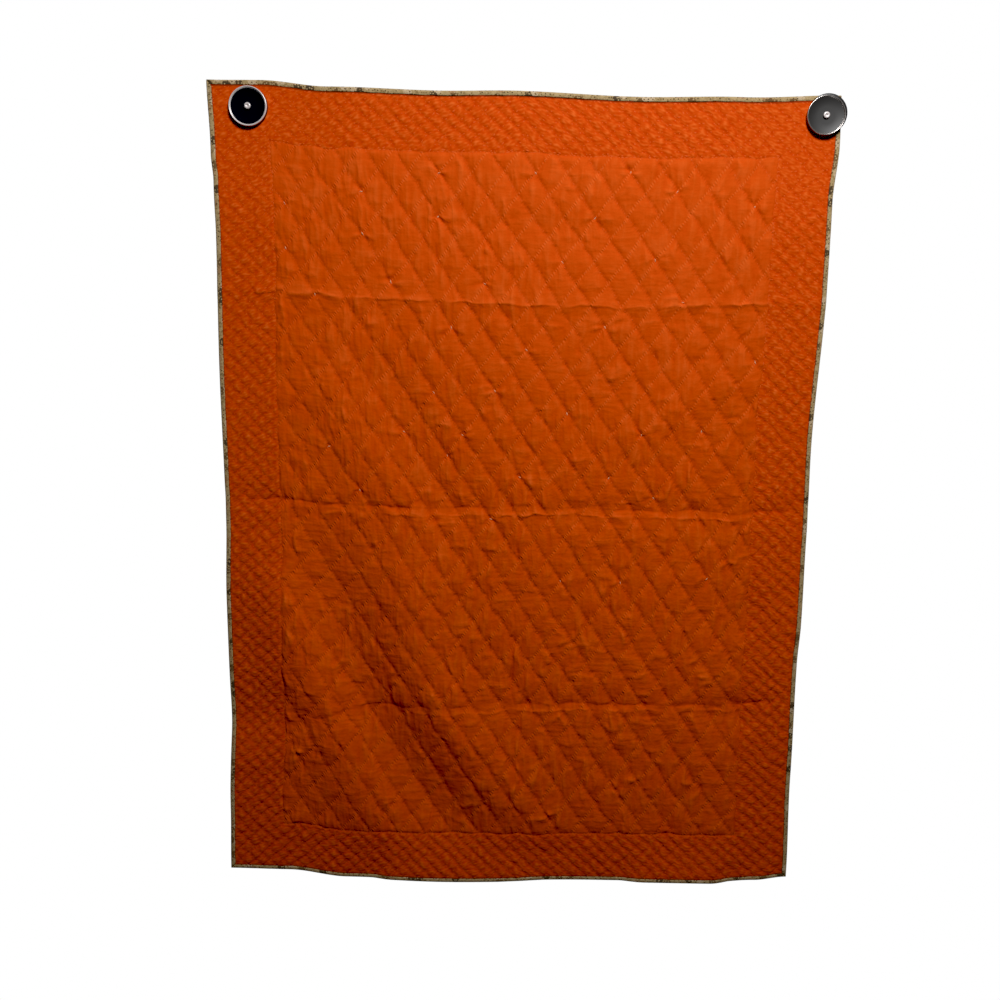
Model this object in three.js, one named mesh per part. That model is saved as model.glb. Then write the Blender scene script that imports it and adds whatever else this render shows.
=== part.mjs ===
// Quilted baby blanket hung on a wall by two round magnets.
// Millimetres, +Z up. The blanket faces -Y and the wall is the plane y = 0.
// The origin lies on the wall, midway between the two magnets.

import * as THREE from 'three';

const { lerp, smoothstep } = THREE.MathUtils;

// Finished size, and the width of binding that shows along each edge
const WIDTH = 914;
const HEIGHT = 1219;
const SIDE_BINDING = 6;
const TOP_BINDING = 7;
const HEM_BINDING = 6;

// Quilted layout: large diamonds in the field, small ones in the border round it
const FIELD_COLUMNS = 16;
const FIELD_ROWS = 16;
const SMALL_ACROSS = 2; // small diamonds to one large one, across and down
const SMALL_DOWN = 3;
const BORDER = 3.5; // width of the border all round, counted in small diamonds

// Half thickness of the cloth where it is sewn down, and how far the diamonds puff above that
const STITCHED = 1.5;
const RIM = 0.9;
const FIELD_PUFF = 2.6;
const BORDER_PUFF = 1.5;
const EDGE_SHARE = 0.4; // share of the puff left in the cells beside the binding

// Folded binding strip, as half thicknesses and insets from the finished edge
const LIP_OUTSIDE = 2.35;
const LIP_INSIDE = 1.75;
const FOLD_EDGE = 2;
const SLOT_INSET = 1.1;
const GAP = 0.3; // clearance between neighbouring pieces
const RIM_INSET = SLOT_INSET + GAP;
const MITRE_GAP = 0.25;

// Magnets: places on the wall, and how they press the cloth
const MAGNET_RADIUS = 27.5;
const MAGNETS = [
  { name: 'left', x: -417, z: -1.5, turn: 0, slip: [0, 0] },
  { name: 'right', x: 417, z: 1.5, turn: 3, slip: [2.4, 2.8] },
]; // turn in degrees about the vertical, and how far the back has slipped right and up behind the face
const ORIGIN_ACROSS = 474.5; // the origin, measured across and down the flat blanket
const ORIGIN_DOWN = 31;
const PINNED_DEPTH = 2.4;
const PINNED = 2; // half thickness under a magnet
const PINNED_RADIUS = 34;
const PINNED_FADE = 170;

// Stray of each edge from a straight line. Columns: place along the edge, stray right or down.
const LEFT_EDGE = [[0, -3], [100, 0.5], [140, 4], [215, 6], [390, 5],
  [640, 8.5], [760, 6], [960, 7], [1110, 2], [1219, 0]];
const RIGHT_EDGE = [[0, 0], [70, 3], [150, -3], [280, -2], [500, -8],
  [645, -5], [790, -3], [850, -5], [1040, -2], [1219, 3]];
const TOP_EDGE = [[0, -4], [80, -5], [175, 3], [335, 6], [440, 4], [625, 9], [770, 6], [914, 0]];
const HEM = [[0, 4], [97, 5], [190, 16], [345, 20], [593, 14], [790, 14], [860, 9], [914, 2]];

// Depth of the hanging cloth: rest distance from the wall at the top edge and the hem, then folds drawn
// through a few places. Each has a reach on its left or lower side, one on its other side, and a rise.
const REST_TOP = 8;
const REST_HEM = 15;
const FOLD_STEPS = 16;
const FOLD_FADE = 0.25; // share of a fold's length over which each end dies away
const DIAGONAL_FOLDS = [
  { through: [[130, 590], [180, 760], [220, 900], [315, 1060], [410, 1190]], reach: [44, 44], rise: -9.5 },
  { through: [[40, 640], [105, 830], [180, 1000], [270, 1200]], reach: [62, 42], rise: 7 },
  { through: [[275, 600], [290, 760], [320, 890], [420, 1030], [540, 1170]], reach: [48, 60], rise: 8.5 },
  { through: [[240, 350], [300, 490], [380, 660]], reach: [36, 40], rise: -4 },
  { through: [[150, 390], [215, 510], [310, 660]], reach: [40, 36], rise: 4.5 },
  { through: [[600, 520], [700, 445], [820, 375]], reach: [30, 34], rise: 2.5 },
];
const SOFT_DENTS = [
  { through: [[735, 778], [800, 768], [870, 775]], reach: [40, 34], rise: -2.5 },
  { through: [[745, 938], [800, 930], [870, 938]], reach: [24, 30], rise: -3.5 },
  { through: [[-120, 955], [20, 958], [150, 945]], reach: [40, 50], rise: -5 },
  { through: [[350, 186], [490, 181], [640, 187]], reach: [50, 14], rise: -2 },
];
const HEM_KICKS = [
  { through: [[640, 1240], [735, 1235], [820, 1240]], reach: [60, 60], rise: 6 },
  { through: [[230, 1240], [330, 1240], [520, 1245]], reach: [70, 70], rise: 5 },
];
const STORAGE_CREASES = [
  { through: [[-250, 293], [457, 293], [1160, 293]], reach: [15, 15], rise: 1.5 },
  { through: [[-250, 606], [457, 602], [1160, 604]], reach: [20, 15], rise: -2.5 },
  { through: [[480, 602], [640, 600], [800, 606]], reach: [32, 24], rise: -2 },
  { through: [[60, 985], [300, 925], [890, 913]], reach: [15, 15], rise: -2.5 },
  { through: [[213, 60], [213, 140], [213, 230]], reach: [13, 13], rise: 1.5 },
  { through: [[457, 640], [457, 930], [457, 1260]], reach: [13, 13], rise: -1.5 },
  { through: [[707, 860], [707, 1040], [707, 1220]], reach: [13, 13], rise: -1.5 },
];

// Grid of half diamonds. Column 0 and row 0 are the field's left and top edges.
const LARGE_WIDE = (WIDTH - 2 * SIDE_BINDING) / (FIELD_COLUMNS + (2 * BORDER) / SMALL_ACROSS);
const LARGE_TALL = (HEIGHT - TOP_BINDING - HEM_BINDING) / (FIELD_ROWS + (2 * BORDER) / SMALL_DOWN);
const STEP_ACROSS = LARGE_WIDE / SMALL_ACROSS / 2;
const STEP_DOWN = LARGE_TALL / SMALL_DOWN / 2;
const FIELD_LAST_COLUMN = FIELD_COLUMNS * SMALL_ACROSS * 2;
const FIELD_LAST_ROW = FIELD_ROWS * SMALL_DOWN * 2;
const FIRST_COLUMN = -2 * BORDER;
const LAST_COLUMN = FIELD_LAST_COLUMN + 2 * BORDER;
const FIRST_ROW = -2 * BORDER;
const LAST_ROW = FIELD_LAST_ROW + 2 * BORDER;

// Stitched places along the finished edges, corners left out
const EDGE_ROWS = range(FIRST_ROW + 2, LAST_ROW, 2);
const EDGE_COLUMNS = range(FIRST_COLUMN + 2, LAST_COLUMN, 2);

function range(from, before, step) {
  const numbers = [];
  for (let value = from; value < before; value += step) numbers.push(value);
  return numbers;
}

// Distance across the flat blanket at a grid column. The outermost columns lie inside the binding.
function across(column) {
  if (column === FIRST_COLUMN) return RIM_INSET;
  if (column === LAST_COLUMN) return WIDTH - RIM_INSET;
  return SIDE_BINDING + (column - FIRST_COLUMN) * STEP_ACROSS;
}

function down(row) {
  if (row === FIRST_ROW) return RIM_INSET;
  if (row === LAST_ROW) return HEIGHT - RIM_INSET;
  return TOP_BINDING + (row - FIRST_ROW) * STEP_DOWN;
}

// Smooth reading of a two-column table between its rows
function tableAt(table, place) {
  const next = table.findIndex(([end]) => place <= end);
  if (next <= 0) return table.at(next)[1];
  const [start, before] = table[next - 1];
  const [end, after] = table[next];
  return lerp(before, after, smoothstep(place, start, end));
}

const foldRows = [...DIAGONAL_FOLDS, ...SOFT_DENTS, ...HEM_KICKS, ...STORAGE_CREASES];
const folds = foldRows.map(({ through, ...fold }) => {
  const curve = new THREE.SplineCurve(through.map(([a, d]) => new THREE.Vector2(a, d)));
  return { ...fold, points: curve.getPoints(FOLD_STEPS) };
});

// Height that one fold adds at a place: a soft ridge or trough that dies away at its ends
function foldRise(fold, place) {
  let nearest = Infinity;
  let along = 0;
  let reach = 0;
  for (let k = 0; k < FOLD_STEPS; k += 1) {
    const start = fold.points[k];
    const run = fold.points[k + 1].clone().sub(start);
    const step = place.clone().sub(start);
    const share = THREE.MathUtils.clamp(step.dot(run) / run.lengthSq(), 0, 1);
    const distance = place.distanceTo(start.clone().addScaledVector(run, share));
    if (distance < nearest) {
      nearest = distance;
      along = (k + share) / FOLD_STEPS;
      reach = fold.reach[run.cross(step) > 0 ? 0 : 1];
    }
  }
  const ends = smoothstep(along, 0, FOLD_FADE) * smoothstep(1 - along, 0, FOLD_FADE);
  return fold.rise * ends * Math.exp(-((nearest / reach) ** 2));
}

// Distance of the cloth's middle from the wall where no magnet holds it
function freeDepth(a, d) {
  const place = new THREE.Vector2(a, d);
  return folds.reduce((depth, fold) => depth + foldRise(fold, place), lerp(REST_TOP, REST_HEM, d / HEIGHT));
}

// Place on the wall plane of a point of the flat blanket, with the edges straying as they hang
function wallPlace(a, d) {
  const right = lerp(tableAt(LEFT_EDGE, d), tableAt(RIGHT_EDGE, d), a / WIDTH);
  const drop = lerp(tableAt(TOP_EDGE, a), tableAt(HEM, a), d / HEIGHT);
  return { x: a + right - ORIGIN_ACROSS, z: ORIGIN_DOWN - d - drop };
}

// How firmly a magnet presses the cloth at a place on the wall, from 0 to 1
function pressed({ x, z }) {
  const holds = MAGNETS.map((magnet) => {
    const distance = Math.hypot(x - magnet.x, z - magnet.z);
    return 1 - smoothstep(distance, PINNED_RADIUS, PINNED_FADE);
  });
  return Math.max(...holds);
}

// Hung position of a point of the flat blanket, lifted towards the viewer from the cloth's middle
function hang(a, d, lift) {
  const place = wallPlace(a, d);
  const depth = lerp(freeDepth(a, d), PINNED_DEPTH, pressed(place));
  return new THREE.Vector3(place.x, -(depth + lift), place.z);
}

function onRim(column, row) {
  return column === FIRST_COLUMN || column === LAST_COLUMN || row === FIRST_ROW || row === LAST_ROW;
}

function besideRim(column, row) {
  return onRim(column - 1, row) || onRim(column + 1, row) || onRim(column, row - 1) || onRim(column, row + 1);
}

// Point of the quilted cloth at a grid place: side is 1 on the front and -1 on the back
function clothPoint(side, column, row, puff) {
  const a = across(column);
  const d = down(row);
  const kept = puff * (besideRim(column, row) ? EDGE_SHARE : 1);
  const half = onRim(column, row) ? RIM : lerp(STITCHED + kept, PINNED, pressed(wallPlace(a, d)));
  return hang(a, d, side * half);
}

const inField = (column, row) => column >= 0 && column <= FIELD_LAST_COLUMN
  && row >= 0 && row <= FIELD_LAST_ROW;
const insideField = (column, row) => column > 0 && column < FIELD_LAST_COLUMN
  && row > 0 && row < FIELD_LAST_ROW;
const inBlanket = (column, row) => column >= FIRST_COLUMN && column <= LAST_COLUMN
  && row >= FIRST_ROW && row <= LAST_ROW;

const REGIONS = [
  { columnStep: SMALL_ACROSS, rowStep: SMALL_DOWN, puff: FIELD_PUFF, covers: inField },
  { columnStep: 1, rowStep: 1, puff: BORDER_PUFF, covers: (c, r) => inBlanket(c, r) && !insideField(c, r) },
];

// Outline of the diamond round one grid place, anticlockwise from the front. Where the region's edge
// cuts a corner off, the stitched places along that edge stand in for it.
function diamond(region, column, row) {
  const turns = [[-1, 0], [0, 1], [1, 0], [0, -1]];
  const corners = turns.map(([right, below]) => [
    column + right * region.columnStep, row + below * region.rowStep,
  ]);
  const kept = corners.map((corner) => region.covers(...corner));
  const outline = [];
  turns.forEach(([right, below], k) => {
    if (kept[k]) {
      outline.push(corners[k]);
    } else {
      const reach = right === 0 ? region.columnStep : region.rowStep;
      for (const step of range(2 - reach, reach, 2)) {
        outline.push([column + below * step, row - right * step]);
      }
    }
  });
  return { outline, whole: kept.every(Boolean) };
}

function diamonds(region) {
  const cells = [];
  const firstColumn = region.columnStep === 1 ? FIRST_COLUMN : 0;
  const firstRow = region.rowStep === 1 ? FIRST_ROW : 0;
  for (const row of range(firstRow, LAST_ROW + 1, region.rowStep)) {
    for (const column of range(firstColumn, LAST_COLUMN + 1, region.columnStep)) {
      const crossing = (column / region.columnStep + row / region.rowStep) % 2 === 0;
      if (!crossing && region.covers(column, row)) {
        cells.push({ column, row, ...diamond(region, column, row) });
      }
    }
  }
  return cells;
}

function geometryFrom(positions, triangles) {
  const geometry = new THREE.BufferGeometry();
  geometry.setAttribute('position', new THREE.Float32BufferAttribute(positions, 3));
  geometry.setIndex(triangles);
  geometry.computeVertexNormals();
  return geometry;
}

// Quilted panel: a raised fan over each diamond in front, plain diamonds behind, and a rim between them
function quiltGeometry() {
  const positions = [];
  const triangles = [];
  const numbers = new Map();

  function point(side, [column, row], puff = 0) {
    const key = `${side} ${column} ${row}`;
    if (!numbers.has(key)) {
      numbers.set(key, numbers.size);
      positions.push(...clothPoint(side, column, row, puff).toArray());
    }
    return numbers.get(key);
  }

  function fan(outline, hub) {
    outline.forEach((corner, k) => triangles.push(hub, corner, outline[(k + 1) % outline.length]));
  }

  function middle(outline) {
    const total = outline.reduce(([c, r], [column, row]) => [c + column, r + row], [0, 0]);
    return total.map((sum) => sum / outline.length);
  }

  for (const region of REGIONS) {
    for (const { column, row, outline, whole } of diamonds(region)) {
      const front = outline.map((place) => point(1, place));
      const back = outline.map((place) => point(-1, place)).reverse();
      if (whole) {
        fan(front, point(1, [column, row], region.puff));
        const [top, right, bottom, left] = back;
        triangles.push(right, bottom, left, right, left, top);
      } else if (outline.length === 3) {
        triangles.push(...front, ...back);
      } else {
        fan(front, point(1, middle(outline), region.puff / 2));
        fan(back, point(-1, middle(outline)));
      }
    }
  }

  const rim = [
    [FIRST_COLUMN, FIRST_ROW], ...EDGE_ROWS.map((row) => [FIRST_COLUMN, row]),
    [FIRST_COLUMN, LAST_ROW], ...EDGE_COLUMNS.map((column) => [column, LAST_ROW]),
    [LAST_COLUMN, LAST_ROW], ...EDGE_ROWS.toReversed().map((row) => [LAST_COLUMN, row]),
    [LAST_COLUMN, FIRST_ROW], ...EDGE_COLUMNS.toReversed().map((column) => [column, FIRST_ROW]),
  ];
  rim.forEach((place, k) => {
    const following = rim[(k + 1) % rim.length];
    const [front, nextFront] = [point(1, place), point(1, following)];
    const [back, nextBack] = [point(-1, place), point(-1, following)];
    triangles.push(nextFront, front, back, nextFront, back, nextBack);
  });
  return geometryFrom(positions, triangles);
}

// Binding strips: how each lies along its edge, with the mitres at its two ends
const BINDINGS = [
  {
    name: 'top', width: TOP_BINDING, length: WIDTH, ends: [SIDE_BINDING, SIDE_BINDING],
    stations: EDGE_COLUMNS.map(across), lay: (along, inset, lift) => hang(along, inset, -lift),
  },
  {
    name: 'bottom', width: HEM_BINDING, length: WIDTH, ends: [SIDE_BINDING, SIDE_BINDING],
    stations: EDGE_COLUMNS.map(across), lay: (along, inset, lift) => hang(along, HEIGHT - inset, lift),
  },
  {
    name: 'left', width: SIDE_BINDING, length: HEIGHT, ends: [TOP_BINDING, HEM_BINDING],
    stations: EDGE_ROWS.map(down), lay: (along, inset, lift) => hang(inset, along, lift),
  },
  {
    name: 'right', width: SIDE_BINDING, length: HEIGHT, ends: [TOP_BINDING, HEM_BINDING],
    stations: EDGE_ROWS.map(down), lay: (along, inset, lift) => hang(WIDTH - inset, along, -lift),
  },
];

// One strip folded over an edge: a U section carried from station to station and closed at both ends
function bindingGeometry({ width, length, ends, stations, lay }) {
  const reach = width - GAP;
  const section = [
    [reach, LIP_OUTSIDE], [0, FOLD_EDGE], [0, -FOLD_EDGE], [reach, -LIP_OUTSIDE],
    [reach, -LIP_INSIDE], [SLOT_INSET, -LIP_INSIDE], [SLOT_INSET, LIP_INSIDE], [reach, LIP_INSIDE],
  ];
  const rings = [
    section.map(([inset, lift]) => lay((inset * ends[0]) / width + MITRE_GAP, inset, lift)),
    ...stations.map((along) => section.map(([inset, lift]) => lay(along, inset, lift))),
    section.map(([inset, lift]) => lay(length - (inset * ends[1]) / width - MITRE_GAP, inset, lift)),
  ];
  const sides = section.length;
  const triangles = [];
  for (let ring = 0; ring + 1 < rings.length; ring += 1) {
    for (let side = 0; side < sides; side += 1) {
      const here = ring * sides + side;
      const beside = ring * sides + ((side + 1) % sides);
      triangles.push(here, beside, beside + sides, here, beside + sides, here + sides);
    }
  }
  const outline = section.map(([inset, lift]) => new THREE.Vector2(inset, lift));
  const caps = THREE.ShapeUtils.triangulateShape(outline, []);
  const last = (rings.length - 1) * sides;
  for (const [one, two, three] of caps) {
    triangles.push(one, three, two, last + one, last + two, last + three);
  }
  return geometryFrom(rings.flat().flatMap((corner) => corner.toArray()), triangles);
}

// Magnet pieces, turned about their own axis. Columns: radius, distance in front of the piece's back.
const BACK_DEEP = 3;
const STUD_SEAT = 1.1;
const BACK_PROFILE = [[0, 0], [27.1, 0], [27.9, 0.6], [27.9, 2.4], [27.1, BACK_DEEP], [0, BACK_DEEP]];
const FACE_PROFILE = [[0, 0], [26.5, 0], [MAGNET_RADIUS, 0.8], [MAGNET_RADIUS, 2.7], [26.7, 3.2], [25.7, 2.9],
  [24.9, 1.8], [0, STUD_SEAT]];
const STUD_PROFILE = [[0, 0], [4.6, 0], [4.6, 1.9], [3.7, 2.8], [1.6, 2.8], [1.6, 1.4], [0, 1.4]];
const ROUND_STEPS = 36;
const STUD_STEPS = 20;

function turned(profile, steps) {
  return new THREE.LatheGeometry(profile.map(([radius, height]) => new THREE.Vector2(radius, height)), steps);
}

const orangeCotton = new THREE.MeshStandardMaterial({ color: 0xd4560c, roughness: 0.9, metalness: 0 });
const floralCotton = new THREE.MeshStandardMaterial({ color: 0xa58a52, roughness: 0.9, metalness: 0 });
const blackGloss = new THREE.MeshStandardMaterial({ color: 0x1a1718, roughness: 0.12, metalness: 0.6 });
const darkBody = new THREE.MeshStandardMaterial({ color: 0x2b2728, roughness: 0.4, metalness: 0.7 });
const brightSteel = new THREE.MeshStandardMaterial({ color: 0xd8d2cf, roughness: 0.15, metalness: 1 });

function piece(name, geometry, material) {
  const mesh = new THREE.Mesh(geometry, material);
  mesh.name = name;
  return mesh;
}

// One magnet, built along its own +Y axis and turned to face the viewer, just clear of the binding
function magnetGroup({ name, x, z, turn, slip }) {
  const back = piece(`magnet_back_${name}`, turned(BACK_PROFILE, ROUND_STEPS), darkBody);
  const face = piece(`magnet_face_${name}`, turned(FACE_PROFILE, ROUND_STEPS), blackGloss);
  const stud = piece(`magnet_stud_${name}`, turned(STUD_PROFILE, STUD_STEPS), brightSteel);
  back.position.set(slip[0], 0, -slip[1]);
  face.position.y = BACK_DEEP + GAP;
  stud.position.y = face.position.y + STUD_SEAT + 2 * GAP;
  const lean = THREE.MathUtils.degToRad(turn);
  const clear = PINNED_DEPTH + LIP_OUTSIDE + GAP + MAGNET_RADIUS * Math.sin(lean);
  const magnet = new THREE.Group();
  magnet.add(back, face, stud);
  magnet.rotation.set(Math.PI, 0, lean);
  magnet.position.set(x, -clear, z);
  return magnet;
}

const blanket = new THREE.Group();
blanket.add(piece('quilt', quiltGeometry(), orangeCotton));
for (const binding of BINDINGS) {
  blanket.add(piece(`binding_${binding.name}`, bindingGeometry(binding), floralCotton));
}
for (const magnet of MAGNETS) blanket.add(magnetGroup(magnet));

export default blanket;
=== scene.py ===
"""Quilted baby blanket hung by two round magnets: the looks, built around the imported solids.

Sizes are millimetres measured on the flat blanket, across from its left edge and down from its top edge.
hang() carries them to the shape in which the blanket hangs, and meshes are made in metres.
"""

import math

import bpy
import numpy as np
from mathutils import Matrix, Vector
from mathutils.geometry import delaunay_2d_cdt


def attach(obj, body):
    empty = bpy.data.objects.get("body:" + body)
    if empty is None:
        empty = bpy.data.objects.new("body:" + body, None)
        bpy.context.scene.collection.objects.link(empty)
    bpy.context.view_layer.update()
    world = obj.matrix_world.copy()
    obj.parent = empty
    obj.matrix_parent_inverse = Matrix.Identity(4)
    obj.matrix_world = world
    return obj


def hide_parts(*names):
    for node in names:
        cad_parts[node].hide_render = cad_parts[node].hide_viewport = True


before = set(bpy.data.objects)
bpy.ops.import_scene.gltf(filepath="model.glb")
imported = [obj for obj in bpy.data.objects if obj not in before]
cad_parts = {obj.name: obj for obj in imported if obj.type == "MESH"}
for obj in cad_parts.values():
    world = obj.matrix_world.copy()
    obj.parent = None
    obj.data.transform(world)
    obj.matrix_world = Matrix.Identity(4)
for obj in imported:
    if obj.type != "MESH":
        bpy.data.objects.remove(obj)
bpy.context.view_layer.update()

MM = 0.001

# Finished size and the width of binding that shows along each edge
WIDTH = 914.0
HEIGHT = 1219.0
SIDE_BINDING = 6.0
TOP_BINDING = 7.0
HEM_BINDING = 6.0
RIM_INSET = 1.4

# Quilted layout: large diamonds in the field, small ones in the border, 2 by 3 to each large one
FIELD_COUNT = 16
SMALL_ACROSS = 2
SMALL_DOWN = 3
BORDER = 3.5
LARGE_WIDE = (WIDTH - 2 * SIDE_BINDING) / (FIELD_COUNT + 2 * BORDER / SMALL_ACROSS)
LARGE_TALL = (HEIGHT - TOP_BINDING - HEM_BINDING) / (FIELD_COUNT + 2 * BORDER / SMALL_DOWN)
SMALL_WIDE = LARGE_WIDE / SMALL_ACROSS
SMALL_TALL = LARGE_TALL / SMALL_DOWN
FIELD_LEFT = SIDE_BINDING + BORDER * SMALL_WIDE
FIELD_TOP = TOP_BINDING + BORDER * SMALL_TALL
FIELD_RIGHT = FIELD_LEFT + FIELD_COUNT * LARGE_WIDE
FIELD_BOTTOM = FIELD_TOP + FIELD_COUNT * LARGE_TALL

# Where the origin lies on the flat blanket, and the magnets' places on the wall
ORIGIN_ACROSS = 474.5
ORIGIN_DOWN = 31.0
MAGNETS = {"left": (-417.0, -1.5), "right": (417.0, 1.5)}
PINNED_DEPTH = 2.4
PINNED = 2.0
PINNED_RADIUS = 34.0
PINNED_FADE = 170.0

# Stray of each edge from a straight line. Columns: place along the edge, stray right or down.
LEFT_EDGE = [(0, -3), (100, 0.5), (140, 4), (215, 6), (390, 5),
             (640, 8.5), (760, 6), (960, 7), (1110, 2), (1219, 0)]
RIGHT_EDGE = [(0, 0), (70, 3), (150, -3), (280, -2), (500, -8),
              (645, -5), (790, -3), (850, -5), (1040, -2), (1219, 3)]
TOP_EDGE = [(0, -4), (80, -5), (175, 3), (335, 6), (440, 4), (625, 9), (770, 6), (914, 0)]
HEM = [(0, 4), (97, 5), (190, 16), (345, 20), (593, 14), (790, 14), (860, 9), (914, 2)]

# Folds of the hanging cloth. Columns: places that the fold runs through, reach on its left or lower
# side, reach on its other side, rise.
REST_TOP = 8.0
REST_HEM = 15.0
FOLD_STEPS = 16
FOLD_FADE = 0.25
FOLDS = [
    (((130, 590), (180, 760), (220, 900), (315, 1060), (410, 1190)), 44, 44, -9.5),
    (((40, 640), (105, 830), (180, 1000), (270, 1200)), 62, 42, 7.0),
    (((275, 600), (290, 760), (320, 890), (420, 1030), (540, 1170)), 48, 60, 8.5),
    (((240, 350), (300, 490), (380, 660)), 36, 40, -4.0),
    (((150, 390), (215, 510), (310, 660)), 40, 36, 4.5),
    (((600, 520), (700, 445), (820, 375)), 30, 34, 2.5),
    (((735, 778), (800, 768), (870, 775)), 40, 34, -2.5),
    (((745, 938), (800, 930), (870, 938)), 24, 30, -3.5),
    (((-120, 955), (20, 958), (150, 945)), 40, 50, -5.0),
    (((350, 186), (490, 181), (640, 187)), 50, 14, -2.0),
    (((640, 1240), (735, 1235), (820, 1240)), 60, 60, 6.0),
    (((230, 1240), (330, 1240), (520, 1245)), 70, 70, 5.0),
    (((-250, 293), (457, 293), (1160, 293)), 15, 15, 0.8),
    (((-250, 606), (457, 602), (1160, 604)), 20, 15, -1.2),
    (((480, 602), (640, 600), (800, 606)), 32, 24, -2.0),
    (((60, 985), (300, 925), (890, 913)), 15, 15, -1.2),
    (((213, 60), (213, 140), (213, 230)), 13, 13, 0.8),
    (((457, 640), (457, 930), (457, 1260)), 13, 13, -0.8),
    (((707, 860), (707, 1040), (707, 1220)), 13, 13, -0.8),
]
# Padding pushed up beside the deep fold of the lower left, with the columns of the folds
PADDED_FOLDS = [
    (((40, 640), (105, 830), (180, 1000), (270, 1200)), 50, 36, 2.0),
    (((275, 600), (290, 760), (320, 890), (420, 1030), (540, 1170)), 42, 50, 2.6),
]

# Sharp creases left by folded storage, each a wavering line along which the cloth is pinched.
# Columns: runs level, line as (place along, place across it), rise, reach before the line, reach after it.
CREASES = [
    (True, [(40, 294), (260, 292), (480, 297), (880, 291)], 2.0, 5.0, 2.6),
    (True, [(20, 607), (200, 604), (450, 600), (700, 603), (895, 604)], -1.4, 3.0, 5.0),
    (True, [(130, 617), (300, 614), (480, 611), (850, 615)], 1.4, 3.8, 2.2),
    (True, [(60, 985), (130, 950), (215, 925), (450, 916), (890, 914)], -1.1, 3.2, 4.6),
    (True, [(280, 932), (500, 926), (880, 924)], 1.2, 3.4, 2.4),
    (False, [(60, 212), (130, 213), (235, 214)], 1.2, 2.6, 3.5),
    (False, [(610, 458), (800, 456), (1010, 457), (1190, 460)], -1.3, 3.0, 3.0),
    (False, [(860, 706), (1000, 708), (1190, 706)], -1.4, 3.0, 3.0),
    (True, [(480, 915), (700, 916), (890, 914)], -1.2, 2.4, 3.0),
]
CREASE_ROWS = (-5.5, -3.2, -1.5, 0.0, 1.5, 3.2, 5.5)  # mesh rows beside each crease
CREASE_STEP = 4.0
CREASE_CLEAR = 1.4  # how far other places keep from the outer rows
CREASE_FADE = 40.0  # length over which a crease dies away at its ends
CREASE_WAVES = [(3.6, 44.0), (1.4, 15.0)]  # how the line wavers: reach, span
# How strong a crease is along its length: middle, swing, span of the swing, then least and most
CREASE_STRENGTH = (0.75, 1.2, 45.0)
CREASE_LIMITS = (0.1, 1.7)
# Crumpling beside a crease: share of its rise, spans along and across, reach
CREASE_CRUMPLE = (0.35, 18.0, 7.0, 14.0)

# Pale tack knots, each at a crossing of the quilting lines
TACKS = [
    (107, 145), (213, 140), (213, 202), (331, 195), (349, 101), (102, 227), (269, 272), (140, 290),
    (418, 269), (351, 328), (327, 421), (428, 418), (381, 488), (277, 502), (148, 507), (345, 548),
    (477, 115), (593, 102), (681, 151), (552, 182), (799, 157), (520, 250), (653, 255), (588, 325),
    (708, 301), (470, 340), (807, 383), (533, 472), (649, 477), (752, 470), (592, 550), (667, 582),
    (472, 567), (222, 592), (415, 647), (520, 710), (642, 710), (745, 702),
]

# Relief of the quilted cloth: height at the sewn lines, then a narrow groove and a low dome above them
SEAM = 1.4
RIM = 0.9
FIELD_GROOVE = 1.05
FIELD_DOME = 1.1
BORDER_GROOVE = 0.45
BORDER_DOME = 0.85
BACK_DOME = 1.5
# How deep the lines that rise to the right are drawn in, and those that fall, from left to right
RISING_SHARES = (1.0, 0.5)
FALLING_SHARES = (0.7, 1.0)
SHARE_TURNS = (100.0, 380.0)
# How steeply the cloth rises from a line: in the grooves, in the domes, and where wrinkles may start
FIELD_STEEP = 3.6
BORDER_STEEP = 2.5
DOME_STEEP = 2.0
WRINKLE_STEEP = 5.0
BACK_STEEP = 4.0
FILL = (0.4, 1.6)  # least and most filling of a diamond
FIELD_EDGE = 8.0  # reach of the stitched rectangle into the field, then into the border
BORDER_EDGE = 5.0
BINDING_EDGE = 5.0
# Puckers across the sewn lines: rise, length, and how slowly they change away from the line
PUCKER = 0.7
PUCKER_LONG = 8.0
PUCKER_TURN = 22.0
PUCKER_LEAST = -0.5
BORDER_PUCKER = 0.7  # share of that in the border
# Soft crumpling of the padding: rise, then spans across and down
CRUMPLE = 0.6
CRUMPLE_SPANS = (30.0, 36.0)
THINNEST = 0.4
# How loosely the cloth lies near the top and towards the hem, and the places between which that turns
SLACK = (0.78, 1.15)
SLACK_TURNS = (120.0, 820.0)
# Stray of hand sewing from its lines. Columns: span, stray across, stray down, seed.
STRAYS = [(95.0, 1.8, 2.0, 41), (27.0, 2.6, 2.6, 42)]
STRAY_FADE = 24.0  # distance from the binding within which it dies away

# Loose wrinkles. Columns: in the field, count, length, half width above or left of the crest, the same
# below or right of it, rise, share that sinks instead of rising, lean in degrees from level, its spread.
WRINKLES = [
    (True, 760, (30.0, 66.0), 3.0, 2.6, (0.8, 2.1), 0.3, 90.0, 11.0),
    (True, 640, (22.0, 50.0), 4.8, 3.3, (0.6, 1.5), 0.2, 3.0, 14.0),
    (True, 220, (16.0, 34.0), 3.6, 3.0, (0.6, 1.3), 0.3, 50.0, 18.0),
    (False, 420, (10.0, 22.0), 3.4, 2.8, (0.4, 0.9), 0.3, 45.0, 26.0),
    (False, 260, (12.0, 26.0), 3.8, 2.8, (0.4, 0.9), 0.3, 5.0, 16.0),
]
WRINKLE_ROWS = (-1.8, -0.75, 0.0, 0.75, 1.8)  # mesh rows beside each crest, counted in half widths
WRINKLE_STEP = 5.4
WRINKLE_MARGIN = 4.0
WRINKLE_BEND = 3.0
WRINKLE_TRIES = 10  # places tried for each wrinkle
WRINKLE_PATCHES = (110.0, 130.0)  # spans of the patches that have wrinkles
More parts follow.
